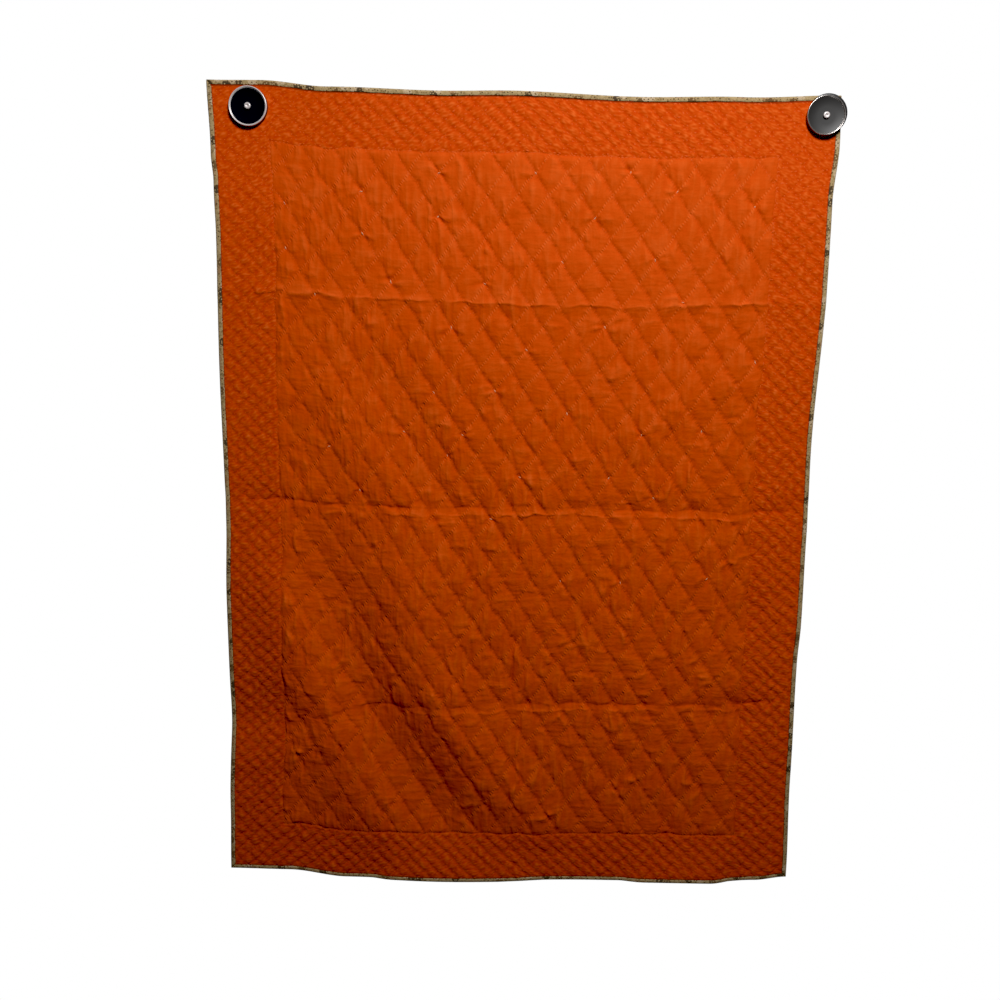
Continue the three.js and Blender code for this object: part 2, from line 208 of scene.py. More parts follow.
WRINKLE_BARE = -0.25  # where a patch is bare
SUNK_SHARE = -0.6  # rise of a sunken wrinkle against a raised one
WRINKLE_APART = 1.6  # clearance of the rows from other places
ROW_APART = 1.5  # and from one another
SEWN_NEAR = 0.5  # how near a place lies to a sewn line that it belongs to
# Level bulges that a tack draws up beside itself. Columns: place right of it, place below it, chance.
TACK_BULGES = [(-11.0, 3.0, 0.75), (11.0, 3.0, 0.75), (-9.0, -8.0, 0.3), (9.0, -8.0, 0.3)]
BULGE_HALF = (10.0, 17.0)
BULGE_RISE = (1.0, 2.0)
BULGE_LEAN = 0.2
BULGE_WIDE = (4.6, 3.0)

# Drift of the field's sewn lines from the drawn layout, counted in diamonds. Columns: at the middle,
# growth to the right, growth downwards, twist, bow across, bow down.
DRIFT_REACH = (400.0, 500.0)
RISING_DRIFT = (0.244, -0.039, -0.282, 0.122, -0.201, 0.237)
FALLING_DRIFT = (-0.024, -0.026, -0.042, -0.198, 0.307, -0.068)
DRIFT_ROUNDS = 6

# Seeds of everything that is scattered by chance
SEEDS = {
    "pinches": 5, "tacks": 8, "filling": 11, "wrinkles": 17, "puckers": 20, "stitches": 23,
    "crumple": 36, "creases": 91, "crease_crumple": 92,
}
BINDING_SEEDS = {"top": 51, "bottom": 61, "left": 71, "right": 81}


# Helpers for smooth numbers

def smooth(share):
    """Smooth step of a share from 0 to 1."""
    share = np.clip(share, 0.0, 1.0)
    return share * share * (3.0 - 2.0 * share)


def mix(start, end, share):
    """Straight blend from start to end."""
    return start + (end - start) * share


def table_at(table, place):
    """Smooth reading of a two-column table between its rows."""
    places, values = np.array(table, float).T
    place = np.clip(place, places[0], places[-1])
    after = np.clip(np.searchsorted(places, place), 1, len(places) - 1)
    share = (place - places[after - 1]) / (places[after] - places[after - 1])
    return mix(values[after - 1], values[after], smooth(share))


NOISE_CELLS = 256
NOISE_GAIN = 1.5
LINE_TURN = 7.3  # steps through the noise from one sewn line to the next, and from one side to the other
SIDE_TURN = 2.1


def gradient_noise(u, v, seed):
    """Gradient noise from about -1 to 1, one bump to each unit of u and v."""
    angles = np.random.default_rng(seed).uniform(0, 2 * math.pi, (NOISE_CELLS, NOISE_CELLS))
    u, v = np.broadcast_arrays(np.asarray(u, float), np.asarray(v, float))
    column, row = np.floor(u).astype(int), np.floor(v).astype(int)
    x, y = u - column, v - row

    def corner(right, below):
        angle = angles[(column + right) % NOISE_CELLS, (row + below) % NOISE_CELLS]
        return np.cos(angle) * (x - right) + np.sin(angle) * (y - below)

    ease_x, ease_y = smooth(x), smooth(y)
    top = mix(corner(0, 0), corner(1, 0), ease_x)
    bottom = mix(corner(0, 1), corner(1, 1), ease_x)
    return NOISE_GAIN * mix(top, bottom, ease_y)


def wavering(along, waves, seed):
    """How a line wavers along its length. Columns of waves: reach, span."""
    stray = 0.0
    for k, (reach, span) in enumerate(waves):
        stray = stray + reach * gradient_noise(along / span, seed, seed + k)
    return stray


# How the flat blanket hangs

def curve_points(through, steps):
    """Catmull-Rom curve through a few places."""
    places = np.array(through, float)
    last = len(places) - 1
    points = []
    for step in range(steps + 1):
        span = last * step / steps
        k = min(int(span), last - 1)
        t = span - k
        before, start = places[max(k - 1, 0)], places[k]
        end, after = places[k + 1], places[min(k + 2, last)]
        leave, arrive = (end - before) / 2, (after - start) / 2
        cubic = 2 * start - 2 * end + leave + arrive
        square = -3 * start + 3 * end - 2 * leave - arrive
        points.append(((cubic * t + square) * t + leave) * t + start)
    return np.array(points)


def curve_distance(points, a, d):
    """Distance of each place from a curve, which side it lies on, and how far along, from 0 to 1."""
    nearest = np.full(np.shape(a), np.inf)
    along = np.zeros(np.shape(a))
    side = np.zeros(np.shape(a))
    steps = len(points) - 1
    for k in range(steps):
        start, run = points[k], points[k + 1] - points[k]
        right, below = a - start[0], d - start[1]
        share = np.clip((right * run[0] + below * run[1]) / run.dot(run), 0.0, 1.0)
        distance = np.hypot(right - run[0] * share, below - run[1] * share)
        closer = distance < nearest
        nearest = np.where(closer, distance, nearest)
        along = np.where(closer, (k + share) / steps, along)
        side = np.where(closer, np.sign(run[0] * below - run[1] * right), side)
    return nearest, side, along


def fold_rise(fold, a, d):
    """Height that one fold adds: a soft ridge or trough that dies away at its ends."""
    through, reach_left, reach_right, rise = fold
    nearest, side, along = curve_distance(curve_points(through, FOLD_STEPS), a, d)
    ends = smooth(along / FOLD_FADE) * smooth((1.0 - along) / FOLD_FADE)
    return rise * ends * np.exp(-(nearest / np.where(side > 0.0, reach_left, reach_right)) ** 2)


def wall_place(a, d):
    """Place on the wall plane, with the edges straying as they hang."""
    right = mix(table_at(LEFT_EDGE, d), table_at(RIGHT_EDGE, d), a / WIDTH)
    drop = mix(table_at(TOP_EDGE, a), table_at(HEM, a), d / HEIGHT)
    return a + right - ORIGIN_ACROSS, ORIGIN_DOWN - d - drop


def pressed(a, d):
    """How firmly a magnet presses the cloth, from 0 to 1."""
    x, z = wall_place(a, d)
    holds = []
    for magnet_x, magnet_z in MAGNETS.values():
        distance = np.hypot(x - magnet_x, z - magnet_z)
        holds.append(1.0 - smooth((distance - PINNED_RADIUS) / (PINNED_FADE - PINNED_RADIUS)))
    return np.maximum(*holds)


def hang(a, d, lift):
    """Hung position in metres of places on the flat blanket, lifted towards the viewer."""
    a, d, lift = np.broadcast_arrays(*(np.asarray(value, float) for value in (a, d, lift)))
    x, z = wall_place(a, d)
    free = mix(REST_TOP, REST_HEM, d / HEIGHT) + sum(fold_rise(fold, a, d) for fold in FOLDS)
    depth = mix(free, PINNED_DEPTH, pressed(a, d))
    return np.stack([x, -(depth + lift), z], axis=-1) * MM


# Relief of the quilting

def in_field(a, d):
    return (a > FIELD_LEFT) & (a < FIELD_RIGHT) & (d > FIELD_TOP) & (d < FIELD_BOTTOM)


def field_edge_distance(a, d):
    """Distance from the stitched rectangle round the field."""
    right = np.maximum(FIELD_LEFT - a, a - FIELD_RIGHT)
    below = np.maximum(FIELD_TOP - d, d - FIELD_BOTTOM)
    outside = np.hypot(np.maximum(right, 0.0), np.maximum(below, 0.0))
    return np.where(outside > 0.0, outside, -np.maximum(right, below))


def binding_distance(a, d):
    """Distance from the inner edge of the binding, negative under it."""
    return np.minimum.reduce([
        a - SIDE_BINDING, WIDTH - SIDE_BINDING - a, d - TOP_BINDING, HEIGHT - HEM_BINDING - d,
    ])


def sewn_drift(a, d):
    """Drift of the field's lines from the drawn layout: of the rising ones, then of the falling ones."""
    u = (a - WIDTH / 2.0) * (1.0 / DRIFT_REACH[0])
    v = (d - HEIGHT / 2.0) * (1.0 / DRIFT_REACH[1])
    drifts = []
    for middle, right, below, twist, bow, sag in (RISING_DRIFT, FALLING_DRIFT):
        drifts.append((u * bow + v * twist + right) * u + (v * sag + below) * v + middle)
    return drifts


def layout_place(rising, falling, wide, tall, drifts):
    """Place on the blanket of a point known by the numbers of its two sewn lines."""
    across, down = rising + falling, rising - falling
    a, d = FIELD_LEFT + wide * across / 2.0, FIELD_TOP + tall * down / 2.0
    for _ in range(DRIFT_ROUNDS if drifts else 0):
        more, less = sewn_drift(a, d)
        a = FIELD_LEFT + wide * (across + more + less) / 2.0
        d = FIELD_TOP + tall * (down + more - less) / 2.0
    return a, d


def line_spacing(wide, tall):
    """Distance between neighbouring lines of a family."""
    return 1.0 / np.hypot(1.0 / wide, 1.0 / tall)


def side_length(wide, tall):
    """Length of one side of a diamond."""
    return np.hypot(wide, tall) / 2.0


def quilting(a, d):
    """For both families of sewn lines: distance to the nearest line, its number and the place along it."""
    field = in_field(a, d)
    wide = np.where(field, LARGE_WIDE, SMALL_WIDE)
    tall = np.where(field, LARGE_TALL, SMALL_TALL)
    spacing, edge = line_spacing(wide, tall), side_length(wide, tall)
    drifts = sewn_drift(a, d)
    rising = (a - FIELD_LEFT) / wide + (d - FIELD_TOP) / tall - field * drifts[0]
    falling = (a - FIELD_LEFT) / wide - (d - FIELD_TOP) / tall - field * drifts[1]
    lines = []
    for number, along in ((rising, falling), (falling, rising)):
        nearest = np.round(number)
        lines.append((np.abs(number - nearest) * spacing, nearest, np.sign(number - nearest), along * edge))
    cell = (np.floor(rising).astype(int), np.floor(falling).astype(int))
    return lines, spacing / 2.0, cell, field


def line_shares(a):
    """How deep the rising and the falling lines are drawn in at a place."""
    turn = smooth((a - SHARE_TURNS[0]) / (SHARE_TURNS[1] - SHARE_TURNS[0]))
    return mix(*RISING_SHARES, turn), mix(*FALLING_SHARES, turn)


def sewn_down(shares, held, fullness):
    """Product of the rises from both families of lines, each as deep as it is held."""
    rises = [1.0 - hold + hold * cushion(share, fullness) for share, hold in zip(shares, held)]
    return rises[0] * rises[1]


def cushion(share, fullness):
    """Rounded rise from a sewn line, from 0 on the line to 1 at full height."""
    return 1.0 - (1.0 - np.clip(share, 0.0, 1.0)) ** fullness


def sewn_place(a, d):
    """Place on the cloth of a point of the drawn layout: hand sewing strays a little from its lines."""
    held = smooth(binding_distance(a, d) / STRAY_FADE)
    stray_a = stray_d = 0.0
    for span, across, down, seed in STRAYS:
        stray_a = stray_a + across * gradient_noise(a / span, d / span, seed)
        stray_d = stray_d + down * gradient_noise(a / span, d / span, seed + len(STRAYS))
    return a + held * stray_a, d + held * stray_d


def tack_places():
    """Each tack moved to the nearest crossing of the large diamonds."""
    lines, *_ = quilting(*np.array(TACKS, float).T)
    return np.stack(layout_place(lines[0][1], lines[1][1], LARGE_WIDE, LARGE_TALL, True), axis=-1)


TACK_PLACES = tack_places()
TACK_RINGS = [(1.6, 8), (3.6, 14), (6.2, 20), (9.2, 26), (12.6, 30), (16.5, 34)]  # radius, places
TACK_REACH = 18.5

# Pinches of the cloth: least and most strength, reach, and wrinkles that run out. Columns: count, share.
CROSSING_PINCH = (0.0, 0.35)
TACK_PINCH = (0.6, 1.1)
PINCH_REACH = 40.0
PINCH_RAYS = [(3, 1.0), (5, 0.8), (8, 0.5)]
RAY_RISE = 0.6
RAY_LONG = (10.0, 5.0)  # length of the wrinkles, and what full strength adds to it
RAY_START = 7.0
DIMPLE_DEEP = 0.5
DIMPLE_REACH = 6.0


def crossing_places():
    """Every crossing of the large diamonds' lines."""
    numbers = np.arange(-FIELD_COUNT, 2 * FIELD_COUNT + 1)
    rising, falling = (grid.ravel() for grid in np.meshgrid(numbers, numbers))
    a, d = layout_place(rising, falling, LARGE_WIDE, LARGE_TALL, True)
    return np.stack([a, d], axis=-1)[in_field(a, d)]


def lookup(a, d):
    """Function that finds the places within reach of a centre."""
    order = np.argsort(d)
    heights = d[order]

    def find(centre_a, centre_d, reach):
        first, last = np.searchsorted(heights, (centre_d - reach, centre_d + reach))
        picked = order[first:last]
        return picked[np.abs(a[picked] - centre_a) < reach]

    return find


def slack(d):
    """How loosely the cloth lies: calm near the top, more crumpled towards the hem."""
    return mix(*SLACK, smooth((d - SLACK_TURNS[0]) / (SLACK_TURNS[1] - SLACK_TURNS[0])))


def pinch_relief(a, d, find):
    """Dimples at the crossings and deeper ones at the tacks, with short wrinkles that run out from them."""
    relief = np.zeros(np.shape(a))
    drawn = np.random.default_rng(SEEDS["pinches"])
    pinches = [(place, drawn.uniform(*CROSSING_PINCH)) for place in crossing_places()]
    pinches += [(place, drawn.uniform(*TACK_PINCH)) for place in TACK_PLACES]
    for (centre_a, centre_d), strength in pinches:
        turns = drawn.uniform(0, 2 * math.pi, len(PINCH_RAYS))
        near = find(centre_a, centre_d, PINCH_REACH)
        right, below = a[near] - centre_a, d[near] - centre_d
        radius, angle = np.hypot(right, below), np.arctan2(below, right)
        rays = sum(share * np.cos(count * angle + turn) for (count, share), turn in zip(PINCH_RAYS, turns))
        long = RAY_LONG[0] + RAY_LONG[1] * strength
        rays = rays * np.exp(-(radius / long) ** 2) * smooth(radius / RAY_START)
        relief[near] += strength * (RAY_RISE * rays - DIMPLE_DEEP * np.exp(-(radius / DIMPLE_REACH) ** 2))
    return relief


def draw_wrinkles():
    """Every loose wrinkle: inside the field, centre, half length, half widths, rise, direction and bend."""
    drawn = np.random.default_rng(SEEDS["wrinkles"])
    wrinkles = []
    for inside, count, lengths, before, after, rises, sunk, lean, spread in WRINKLES:
        tries = WRINKLE_TRIES * count
        centre_a, centre_d = drawn.uniform(0, WIDTH, tries), drawn.uniform(0, HEIGHT, tries)
        patch = gradient_noise(centre_a / WRINKLE_PATCHES[0], centre_d / WRINKLE_PATCHES[1], int(lean))
        kept = np.flatnonzero((in_field(centre_a, centre_d) == inside) & (patch > WRINKLE_BARE))[:count]
        for k in kept:
            half = drawn.uniform(*lengths) / 2.0
            rise = drawn.uniform(*rises) * slack(centre_d[k])
            rise *= SUNK_SHARE if drawn.random() < sunk else 1.0
            angle = math.radians(lean + drawn.normal(0.0, spread))
            bend = drawn.uniform(-WRINKLE_BEND, WRINKLE_BEND)
            wrinkles.append((inside, centre_a[k], centre_d[k], half, before, after, rise, angle, bend))
    for tack_a, tack_d in TACK_PLACES:
        for right, below, chance in TACK_BULGES:
            if drawn.random() < chance:
                half, rise = drawn.uniform(*BULGE_HALF), drawn.uniform(*BULGE_RISE)
                angle = drawn.normal(0.0, BULGE_LEAN)
                wrinkles.append((True, tack_a + right, tack_d + below, half, *BULGE_WIDE, rise, angle, 0.0))
    return wrinkles


LOOSE_WRINKLES = draw_wrinkles()


def wrinkle_relief(a, d, find):
    """Short loose wrinkles, each a bent crest that dies away at its ends."""
    relief = np.zeros(np.shape(a))
    for _, centre_a, centre_d, half, before, after, rise, angle, bend in LOOSE_WRINKLES:
        near = find(centre_a, centre_d, half + WRINKLE_MARGIN)
        right, below = a[near] - centre_a, d[near] - centre_d
        along = (right * math.cos(angle) - below * math.sin(angle)) / half
        past = right * math.sin(angle) + below * math.cos(angle) + bend * along ** 2
        crest = np.exp(-(past / np.where(past < 0.0, before, after)) ** 2)
        relief[near] += rise * crest * np.clip(1.0 - along ** 2, 0.0, 1.0) ** 2
    return relief


def wrinkle_rows():
    """Places along every wrinkle of the field, in a few rows beside its crest."""
    rows = []
    for inside, centre_a, centre_d, half, before, after, _, angle, bend in LOOSE_WRINKLES:
        if inside:
            steps = max(int(2.0 * half / WRINKLE_STEP), 2)
            along, row = np.meshgrid(np.linspace(-half, half, steps + 1)[1:-1], WRINKLE_ROWS)
            past = row * np.where(row < 0.0, before, after) - bend * (along / half) ** 2
            right = along * math.cos(angle) + past * math.sin(angle)
            below = past * math.cos(angle) - along * math.sin(angle)
            rows.append(np.stack([centre_a + right, centre_d + below], axis=-1).reshape(-1, 2))
    return np.concatenate(rows)


def crease_offset(crease, a, d):
    """Distance past a crease's wavering line, and the place along it."""
    level, line, *_ = crease
    along, across = (a, d) if level else (d, a)
    return across - table_at(line, along) - wavering(along, CREASE_WAVES, int(line[0][1])), along


def crease_relief(a, d):
    """Pinched lines, stronger and weaker along their length and broken here and there."""
    relief = np.zeros(np.shape(a))
    middle, swing, span = CREASE_STRENGTH
    share, span_along, span_across, crumpled = CREASE_CRUMPLE
    for crease in CREASES:
        _, line, rise, before, after = crease
        offset, along = crease_offset(crease, a, d)
        start, end = line[0][0], line[-1][0]
        ends = smooth((along - start) / CREASE_FADE) * smooth((end - along) / CREASE_FADE)
        swings = gradient_noise(along / span, rise, SEEDS["creases"])
        strength = np.clip(middle + swing * swings, *CREASE_LIMITS)
        reach = np.where(offset < 0.0, before, after)
        relief += rise * ends * strength * np.exp(-np.abs(offset) / reach)
        crumple = gradient_noise(along / span_along, offset / span_across, SEEDS["crease_crumple"])
        relief += share * rise * ends * crumple * np.exp(-(offset / crumpled) ** 2)
    return relief


def settle(relief, a, d):
    """Relief pressed flat under the magnets and thinned to the rim under the binding."""
    kept = mix(relief, PINNED, pressed(a, d))
    under_binding = smooth(-binding_distance(a, d) / (SIDE_BINDING - RIM_INSET))
    return mix(kept, RIM, under_binding)


def front_relief(a, d):
    """Height of the front cloth above the blanket's middle, as its quilted shape and its fine wrinkles."""
    lines, half, cell, field = quilting(a, d)
    find = lookup(a, d)
    shares = [gap / half for gap, *_ in lines]
    fill = np.random.default_rng(SEEDS["filling"]).uniform(*FILL, (NOISE_CELLS, NOISE_CELLS))
    fill = fill[cell[0] % NOISE_CELLS, cell[1] % NOISE_CELLS]
    reach = np.where(field, FIELD_EDGE, BORDER_EDGE)
    ends = cushion(field_edge_distance(a, d) / reach, DOME_STEEP)
    ends = ends * cushion(binding_distance(a, d) / BINDING_EDGE, DOME_STEEP)
    held = line_shares(a)
    groove = sewn_down(shares, held, np.where(field, FIELD_STEEP, BORDER_STEEP)) * ends
    dome = sewn_down(shares, held, DOME_STEEP) * ends
    relief = SEAM + np.where(field, FIELD_GROOVE, BORDER_GROOVE) * groove
    relief = relief + np.where(field, FIELD_DOME, BORDER_DOME * slack(d)) * fill * dome

    puckers = np.zeros(np.shape(a))
    for family, (gap, number, side, along) in enumerate(lines):
        place = number * LINE_TURN + side * SIDE_TURN + gap / PUCKER_TURN
        ripple = gradient_noise(along / PUCKER_LONG, place, SEEDS["puckers"] + family)
        ripple = np.maximum(ripple, PUCKER_LEAST)
        puckers += ripple * np.exp(-gap / reach) * np.where(field, 1.0, BORDER_PUCKER)
    loose = np.where(field, sewn_down(shares, held, WRINKLE_STEEP), 1.0)
    crumple = gradient_noise(a / CRUMPLE_SPANS[0], d / CRUMPLE_SPANS[1], SEEDS["crumple"])
    relief = relief + slack(d) * CRUMPLE * crumple
    relief = relief + sum(fold_rise(fold, a, d) for fold in PADDED_FOLDS)
    fine = slack(d) * PUCKER * puckers + loose * wrinkle_relief(a, d, find)
    return relief, fine + pinch_relief(a, d, find) + crease_relief(a, d)


def front_lift(a, d):
    """Height of the front cloth above the blanket's middle, never thinner than two layers of cloth."""
    return settle(np.maximum(sum(front_relief(a, d)), THINNEST), a, d)


def back_lift(a, d):
    """Depth of the back cloth behind the blanket's middle: plain diamonds, without wrinkles."""
    lines, half, _, field = quilting(a, d)
    pillow = cushion(lines[0][0] / half, BACK_STEEP) * cushion(lines[1][0] / half, BACK_STEEP)
    return settle(SEAM + np.where(field, BACK_DOME, BORDER_DOME) * pillow, a, d)


# Meshes

def mesh_piece(name, points, faces, material, flat=None, crest=None, rounded=True):
    """New piece from arrays, with the flat blanket's places as its UV map in metres.

    The height of its fine wrinkles may go along, in millimetres, for painted light on their raised parts
    and painted shade in their hollows.
    """
    mesh = bpy.data.meshes.new(name)
    mesh.from_pydata(np.asarray(points).tolist(), [], [tuple(int(k) for k in face) for face in faces])
    mesh.polygons.foreach_set("use_smooth", np.full(len(mesh.polygons), rounded))
    if flat is not None:
        corners = np.zeros(len(mesh.loops), np.int32)
        mesh.loops.foreach_get("vertex_index", corners)
        layer = mesh.uv_layers.new(name="flat")
        layer.data.foreach_set("uv", (np.asarray(flat)[corners] * MM).astype(np.float32).ravel())
    if crest is not None:
        heights = mesh.attributes.new("crest", "FLOAT", "POINT")
        heights.data.foreach_set("value", np.asarray(crest, np.float32))
    mesh.materials.append(material)
    mesh.validate()
    piece = bpy.data.objects.new(name, mesh)
    bpy.context.scene.collection.objects.link(piece)
    return piece


def even_cuts(count):
    return np.arange(count) / count


def lattice(wide, tall, cuts, drifts):
    """Places of a diamond lattice, so that every sewn line lies on a row of places."""
    reach = math.ceil(max(WIDTH / wide, HEIGHT / tall)) + 1
    steps = (np.arange(-2 * reach, 2 * reach)[:, None] + np.asarray(cuts)).ravel()
    rising, falling = (grid.ravel() for grid in np.meshgrid(steps, steps))
    a, d = layout_place(rising, falling, wide, tall, False)
    near = binding_distance(a, d) > -wide
    a, d = layout_place(rising[near], falling[near], wide, tall, drifts)
    return np.stack([a, d], axis=-1)


def rectangle(left, top, right, bottom, across_count, down_count):
    """Places round a rectangle, clockwise from its top left corner."""
    across = np.linspace(left, right, across_count + 1)
    down = np.linspace(top, bottom, down_count + 1)
    sides = [
        [(a, top) for a in across[:-1]], [(right, d) for d in down[:-1]],
        [(a, bottom) for a in across[:0:-1]], [(left, d) for d in down[:0:-1]],
    ]
    return np.array([place for side in sides for place in side])


RIM_ACROSS = 156
RIM_DOWN = 220
CLEAR = 0.8
# Rows of mesh places in a diamond, as shares of its side, closer beside the sewn lines of the field
FIELD_CUTS = (0.0, 0.07, 0.22, 0.41, 0.59, 0.78, 0.93)
BORDER_CUTS = even_cuts(4)
BACK_CUTS = (0.0, 0.12, 0.5, 0.88)
BACK_BORDER_CUTS = even_cuts(2)
FRAME_CUTS = 4
INSIDE_ONLY = 1  # kind of triangulation: only what lies inside the rim
MERGED_WITHIN = 1e-4


def apart_from(places, others, apart):
    """Which places keep about this far from all the others, told by the squares of a fine grid."""
    taken = set()
    for column, row in np.floor(others / apart).astype(int):
        taken.update((column + right, row + below) for right in (-1, 0, 1) for below in (-1, 0, 1))
    squares = np.floor(places / apart).astype(int)
    return np.array([(column, row) not in taken for column, row in squares])


def thinned(places, apart):
    """Places with no two in one square of a fine grid."""
    _, first = np.unique(np.floor(places / apart).astype(int), axis=0, return_index=True)
    return places[np.sort(first)]


def refined(places):
    """Lattice places with closer rows along the wrinkles and creases and rings round the tacks."""
    rows = thinned(wrinkle_rows(), ROW_APART)
    lines, *_ = quilting(*rows.T)
    rows = rows[in_field(*rows.T) & (np.minimum(lines[0][0], lines[1][0]) > WRINKLE_APART)]
    lines, *_ = quilting(*places.T)
    sewn = np.minimum(lines[0][0], lines[1][0]) < SEWN_NEAR
    places = np.concatenate([places[sewn | apart_from(places, rows, WRINKLE_APART)], rows])
    for crease in CREASES:
        level, line, *_ = crease
        along = np.arange(line[0][0], line[-1][0], CREASE_STEP)
        zero = np.zeros(len(along))
        first, second = (along, zero) if level else (zero, along)
        across = -crease_offset(crease, first, second)[0]
        rows = []
        for row in CREASE_ROWS:
            rows.append(np.stack([along, across + row] if level else [across + row, along], axis=-1))
        added = np.concatenate(rows)
        offset, place = crease_offset(crease, *places.T)
        near = np.abs(offset) < CREASE_ROWS[-1] + CREASE_CLEAR
        beside = near & (place > along[0]) & (place < along[-1])
        places = np.concatenate([places[~beside], added])
    for tack in TACK_PLACES:
        rings = [np.array([tack])]
        for radius, count in TACK_RINGS:
            turn = np.arange(count) * 2 * math.pi / count + radius
            rings.append(np.array(tack) + radius * np.stack([np.cos(turn), np.sin(turn)], axis=-1))
        apart = np.hypot(*(places - np.array(tack)).T)
        places = np.concatenate([places[apart > TACK_REACH], *rings])
    return places


def cloth_face(field_cuts, border_cuts, frame_cuts, refine=False):
    """Flat triangulation of one face of the quilt. The rim's places come first."""
    rim = rectangle(RIM_INSET, RIM_INSET, WIDTH - RIM_INSET, HEIGHT - RIM_INSET, RIM_ACROSS, RIM_DOWN)
    frame_across = FIELD_COUNT * SMALL_ACROSS * frame_cuts
    frame_down = FIELD_COUNT * SMALL_DOWN * frame_cuts
    sewn = rectangle(FIELD_LEFT, FIELD_TOP, FIELD_RIGHT, FIELD_BOTTOM, frame_across, frame_down)
    field = lattice(LARGE_WIDE, LARGE_TALL, field_cuts, True)
    border = lattice(SMALL_WIDE, SMALL_TALL, border_cuts, False)
    inner = np.concatenate([field[in_field(*field.T)], border[~in_field(*border.T)]])
    inner = refined(inner) if refine else inner
    inner = inner[(field_edge_distance(*inner.T) > CLEAR) & (binding_distance(*inner.T) > -CLEAR)]
    places = np.concatenate([rim, sewn, inner])
    count, around = len(rim), len(sewn)
    edges = [(k, (k + 1) % count) for k in range(count)]
    edges += [(count + k, count + (k + 1) % around) for k in range(around)]
    vectors = [Vector(place) for place in places]
    made, _, triangles, origins, _, _ = delaunay_2d_cdt(vectors, edges, [], INSIDE_ONLY, MERGED_WITHIN)
    assert len(made) == len(places) and all(origin == [k] for k, origin in enumerate(origins))
    return places, np.array(triangles), count


def make_quilt(material):
    """Closed quilted panel: puffed front, plainer back and a thin rim between them."""
    front, front_faces, rim = cloth_face(FIELD_CUTS, BORDER_CUTS, FRAME_CUTS, True)
    back, back_faces, _ = cloth_face(BACK_CUTS, BACK_BORDER_CUTS, FRAME_CUTS // 2)
    points = np.concatenate([
        hang(*sewn_place(*front.T), front_lift(*front.T)),
        hang(*sewn_place(*back.T), -back_lift(*back.T)),
    ])
    start = len(front)
    here = np.arange(rim)
    following = (here + 1) % rim
    outward = np.stack([here, following, following + start, here + start], axis=-1)
    faces = [list(face) for face in front_faces[:, ::-1]]
    faces += [list(face) for face in back_faces + start]
    faces += [list(face) for face in outward]
    # Height of the fine wrinkles, which the cotton turns into painted light and painted shade
    crest = np.concatenate([front_relief(*front.T)[1], np.zeros(len(back))])
    return mesh_piece("quilt_cloth", points, faces, material, np.concatenate([front, back]), crest)


# Sewing

STITCH_LONG = 4.2
STITCH_WIDE = 1.8
STITCH_TALL = 0.4
FIELD_STITCHES = 7  # stitches along one side of a large diamond
BORDER_STITCHES = 2  # and of a small one
BORDER_STITCH_LONG = 1.5  # how much longer a stitch is there
STITCH_SWING = 0.35  # how far a stitch may turn from its direction, in radians
STITCH_LENGTHS = (0.6, 1.15)  # least and most share of the length
STITCH_SUNK = -0.05
STITCH_CLEAR = 1.5  # clearance from the stitched rectangle, then from the binding
STITCH_BINDING_CLEAR = 2.0
FRAME_PITCH = 5.6
TICK = (0.93, -0.37)  # direction of the slanting ticks in the left of the border, right and down


def stitch_directions(a, wide, tall, large):
    """Direction of each stitch: along the falling lines in the field, a slanting tick in the border."""
    if large:
        return np.broadcast_to(np.array([wide, tall]) / math.hypot(wide, tall), (len(a), 2))
    down = np.where(a < WIDTH / 2.0, TICK[1], -TICK[1])
    return np.stack([np.full(len(a), TICK[0]), down], axis=-1)


def line_places(wide, tall, per_side, drifts, keep):
    """Stitch places along every sewn line of one lattice, each with its direction."""
    reach = 2 * math.ceil(max(WIDTH / wide, HEIGHT / tall))
    lines = np.arange(-reach, reach + 1)
    steps = (np.arange(-reach * per_side, reach * per_side) + 0.5) / per_side
    number, along = (grid.ravel() for grid in np.meshgrid(lines, steps))
    found = []
    for rising, falling in ((number, along), (along, number)):
        near = binding_distance(*layout_place(rising, falling, wide, tall, False)) > -wide
        a, d = layout_place(rising[near], falling[near], wide, tall, drifts)
        kept = keep(a, d)
        a, d = a[kept], d[kept]
        found.append((a, d, stitch_directions(a, wide, tall, drifts)))
    return [np.concatenate(column) for column in zip(*found)]


def frame_places(pitch):
    """Stitch places along the rectangle round the field."""
    corners = rectangle(FIELD_LEFT, FIELD_TOP, FIELD_RIGHT, FIELD_BOTTOM, 1, 1)
    columns = []
    for start, end in zip(corners, np.roll(corners, -1, axis=0)):
        length = np.linalg.norm(end - start)
        count = int(length / pitch)
        share = (np.arange(count)[:, None] + 0.5) / count
        columns.append((start + (end - start) * share, np.broadcast_to((end - start) / length, (count, 2))))
    places, directions = (np.concatenate(column) for column in zip(*columns))
    return places[:, 0], places[:, 1], directions


# Faces of a bead over its corners: both ends, both sides, top and bottom
BEAD_FACES = np.array([
    (0, 2, 4), (2, 1, 4), (1, 3, 4), (3, 0, 4),
    (2, 0, 5), (1, 2, 5), (3, 1, 5), (0, 3, 5),
])


def make_threads(name, a, d, direction, sizes, raised, material):
    """Short threads lying on the cloth, each a long eight-sided bead, joined in one mesh."""
    long, wide, tall = sizes
    side = np.stack([-direction[:, 1], direction[:, 0]], axis=-1)
    base = front_lift(a, d) + raised
    corners = []
    for step, lift in ((direction * long / 2, 0), (-direction * long / 2, 0), (side * wide / 2, 0),
                       (-side * wide / 2, 0), (0 * side, tall / 2), (0 * side, -tall / 2)):
        corners.append(hang(*sewn_place(a + step[:, 0], d + step[:, 1]), base + lift))
    points = np.stack(corners, axis=1).reshape(-1, 3)
    faces = (np.arange(len(a))[:, None, None] * len(corners) + BEAD_FACES).reshape(-1, 3)
    return mesh_piece(name, points, faces, material, rounded=False)


